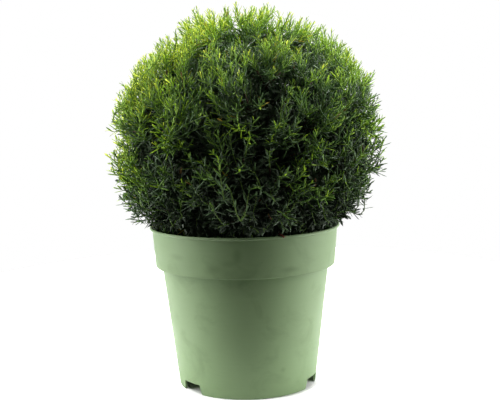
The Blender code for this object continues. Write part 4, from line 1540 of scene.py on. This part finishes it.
@dataclass
class Studio:
    """Pale floor, white surroundings, soft panels at both sides and above, and the camera."""

    camera_place: tuple[float, float, float] = (8.5 * MM, -1.434, 0.4376)
    pitch: float = math.radians(-6.694)
    roll: float = math.radians(1.183)
    focal_pixels: float = 984.5
    image_width: float = 500.0
    sensor: float = 36.0
    floor_colour: str = "#F7F7F7"
    floor_radius: float = 0.715
    floor_glow: float = 0.5
    floor_setback: float = 0.5
    ambient: float = 0.043
    backdrop: float = 1.0

    def build_camera(self) -> None:
        """Set the camera at the photograph's place, tilt and roll."""
        data = bpy.data.cameras.new("camera")
        data.sensor_width = self.sensor
        data.lens = self.focal_pixels / self.image_width * self.sensor
        data.clip_start = 0.05
        camera = bpy.data.objects.new("camera", data)
        bpy.context.scene.collection.objects.link(camera)
        look = Matrix.Rotation(math.radians(90) + self.pitch, 4, "X")
        tilt = Matrix.Rotation(-self.roll, 4, "Z")
        place = Matrix.Translation(POT_AXIS + Vector(self.camera_place))
        camera.matrix_world = place @ look @ tilt
        bpy.context.scene.camera = camera

    def build_floor(self) -> None:
        """Lay the pale floor, which the camera sees glowing outside the pot's foot."""
        deselect_all()
        bpy.ops.mesh.primitive_circle_add(
            vertices=96, radius=self.floor_radius, fill_type="NGON", location=(0.0, 0.0, 0.0))
        floor = bpy.context.object
        floor.data.transform(Matrix.Translation((0.0, self.floor_setback, -0.2 * MM)))
        floor.name = "floor"
        finish = PlainFinish("floor_matt_white", self.floor_colour, 0.9, 0.1).make()
        shader = finish.node_tree.nodes["Principled BSDF"]
        shader.inputs["Emission Color"].default_value = linear(self.floor_colour)
        tree = finish.node_tree
        rays = add_node(tree, "ShaderNodeLightPath")
        place = add_node(tree, "ShaderNodeTexCoord")
        away = add_node(tree, "ShaderNodeVectorMath", {"operation": "LENGTH"}, {0: place.outputs["Object"]})
        clear = add_node(tree, "ShaderNodeMapRange", {
            "From Min": 0.0995, "From Max": 0.103, "To Min": 0.0, "To Max": self.floor_glow,
        }, {"Value": away.outputs["Value"]})
        glow = add_node(tree, "ShaderNodeMath", {"operation": "MULTIPLY"}, {
            0: clear.outputs["Result"], 1: rays.outputs["Is Camera Ray"]})
        tree.links.new(glow.outputs["Value"], shader.inputs["Emission Strength"])
        floor.data.materials.append(finish)

    def build_lights(self) -> None:
        """Hang the panels and set the surroundings."""
        panels = (
            Softbox("panel_left", (-1.25, -0.08, 0.55), (0.0, 0.0, 0.25), 1.0, 1.4, 19.5),
            Softbox("panel_right", (1.25, -0.08, 0.55), (0.0, 0.0, 0.25), 1.0, 1.4, 20.5),
            Softbox("panel_left_high", (-1.0, -0.45, 1.45), (-0.1, 0.0, 0.4), 0.7, 0.7, 4.0),
            Softbox("panel_top", (0.0, 0.85, 1.85), (0.0, 0.1, 0.1), 2.0, 1.2, 120.0),
            Softbox("panel_front", (-0.2, -1.25, 2.5), (0.0, 0.0, 0.35), 1.2, 0.6, 8.0),
        )
        for panel in panels:
            data = bpy.data.lights.new(panel.name, "AREA")
            data.shape = "RECTANGLE"
            data.size = panel.width
            data.size_y = panel.height
            data.energy = panel.power
            light = bpy.data.objects.new(panel.name, data)
            light.visible_camera = False
            bpy.context.scene.collection.objects.link(light)
            way = Vector(panel.target) - Vector(panel.place)
            turned = way.to_track_quat("-Z", "Y").to_matrix().to_4x4()
            light.matrix_world = Matrix.Translation(panel.place) @ turned
        self.build_surroundings()
        bpy.context.scene.view_settings.view_transform = "Standard"

    def build_surroundings(self) -> None:
        """White surroundings that the camera sees bright and that light the object softly."""
        world = bpy.data.worlds.new("surroundings")
        world.use_nodes = True
        tree = world.node_tree
        tree.nodes.clear()
        rays = add_node(tree, "ShaderNodeLightPath")
        way = add_node(tree, "ShaderNodeTexCoord")
        parts = add_node(tree, "ShaderNodeSeparateXYZ", {}, {0: way.outputs["Generated"]})
        behind = add_node(tree, "ShaderNodeMapRange", {
            "From Min": 0.3, "From Max": 0.8, "To Min": 0.0, "To Max": self.backdrop,
        }, {"Value": parts.outputs["Y"]})
        mirrored = add_node(tree, "ShaderNodeMath", {"operation": "MULTIPLY"}, {
            0: behind.outputs["Result"], 1: rays.outputs["Is Glossy Ray"]})
        strength = add_node(tree, "ShaderNodeMath", {"operation": "ADD", 1: self.ambient}, {
            0: mirrored.outputs["Value"]})
        soft = add_node(tree, "ShaderNodeBackground", {"Color": linear("#FFFFFF")}, {
            "Strength": strength.outputs["Value"]})
        seen = add_node(tree, "ShaderNodeBackground", {"Color": linear("#FFFFFF"), "Strength": 1.0})
        mixed = add_node(tree, "ShaderNodeMixShader", {}, {
            0: rays.outputs["Is Camera Ray"], 1: soft.outputs[0], 2: seen.outputs[0]})
        add_node(tree, "ShaderNodeOutputWorld", {}, {"Surface": mixed.outputs[0]})
        bpy.context.scene.world = world


def main() -> None:
    """Build the camera, the pot, the compost, the crown and the studio in order."""
    logging.basicConfig(level=logging.INFO, format="%(message)s")
    studio = Studio()
    studio.build_camera()
    pot = NurseryPot()
    pot.dress(pot.build())
    compost = CompostBed()
    bed = compost.build(pot)
    compost.dress(bed, compost.scatter(), compost.scrap(pot))
    Crown(GrowthRule(), NeedleMaker()).build()
    studio.build_floor()
    studio.build_lights()


if __name__ == "__main__":
    main()
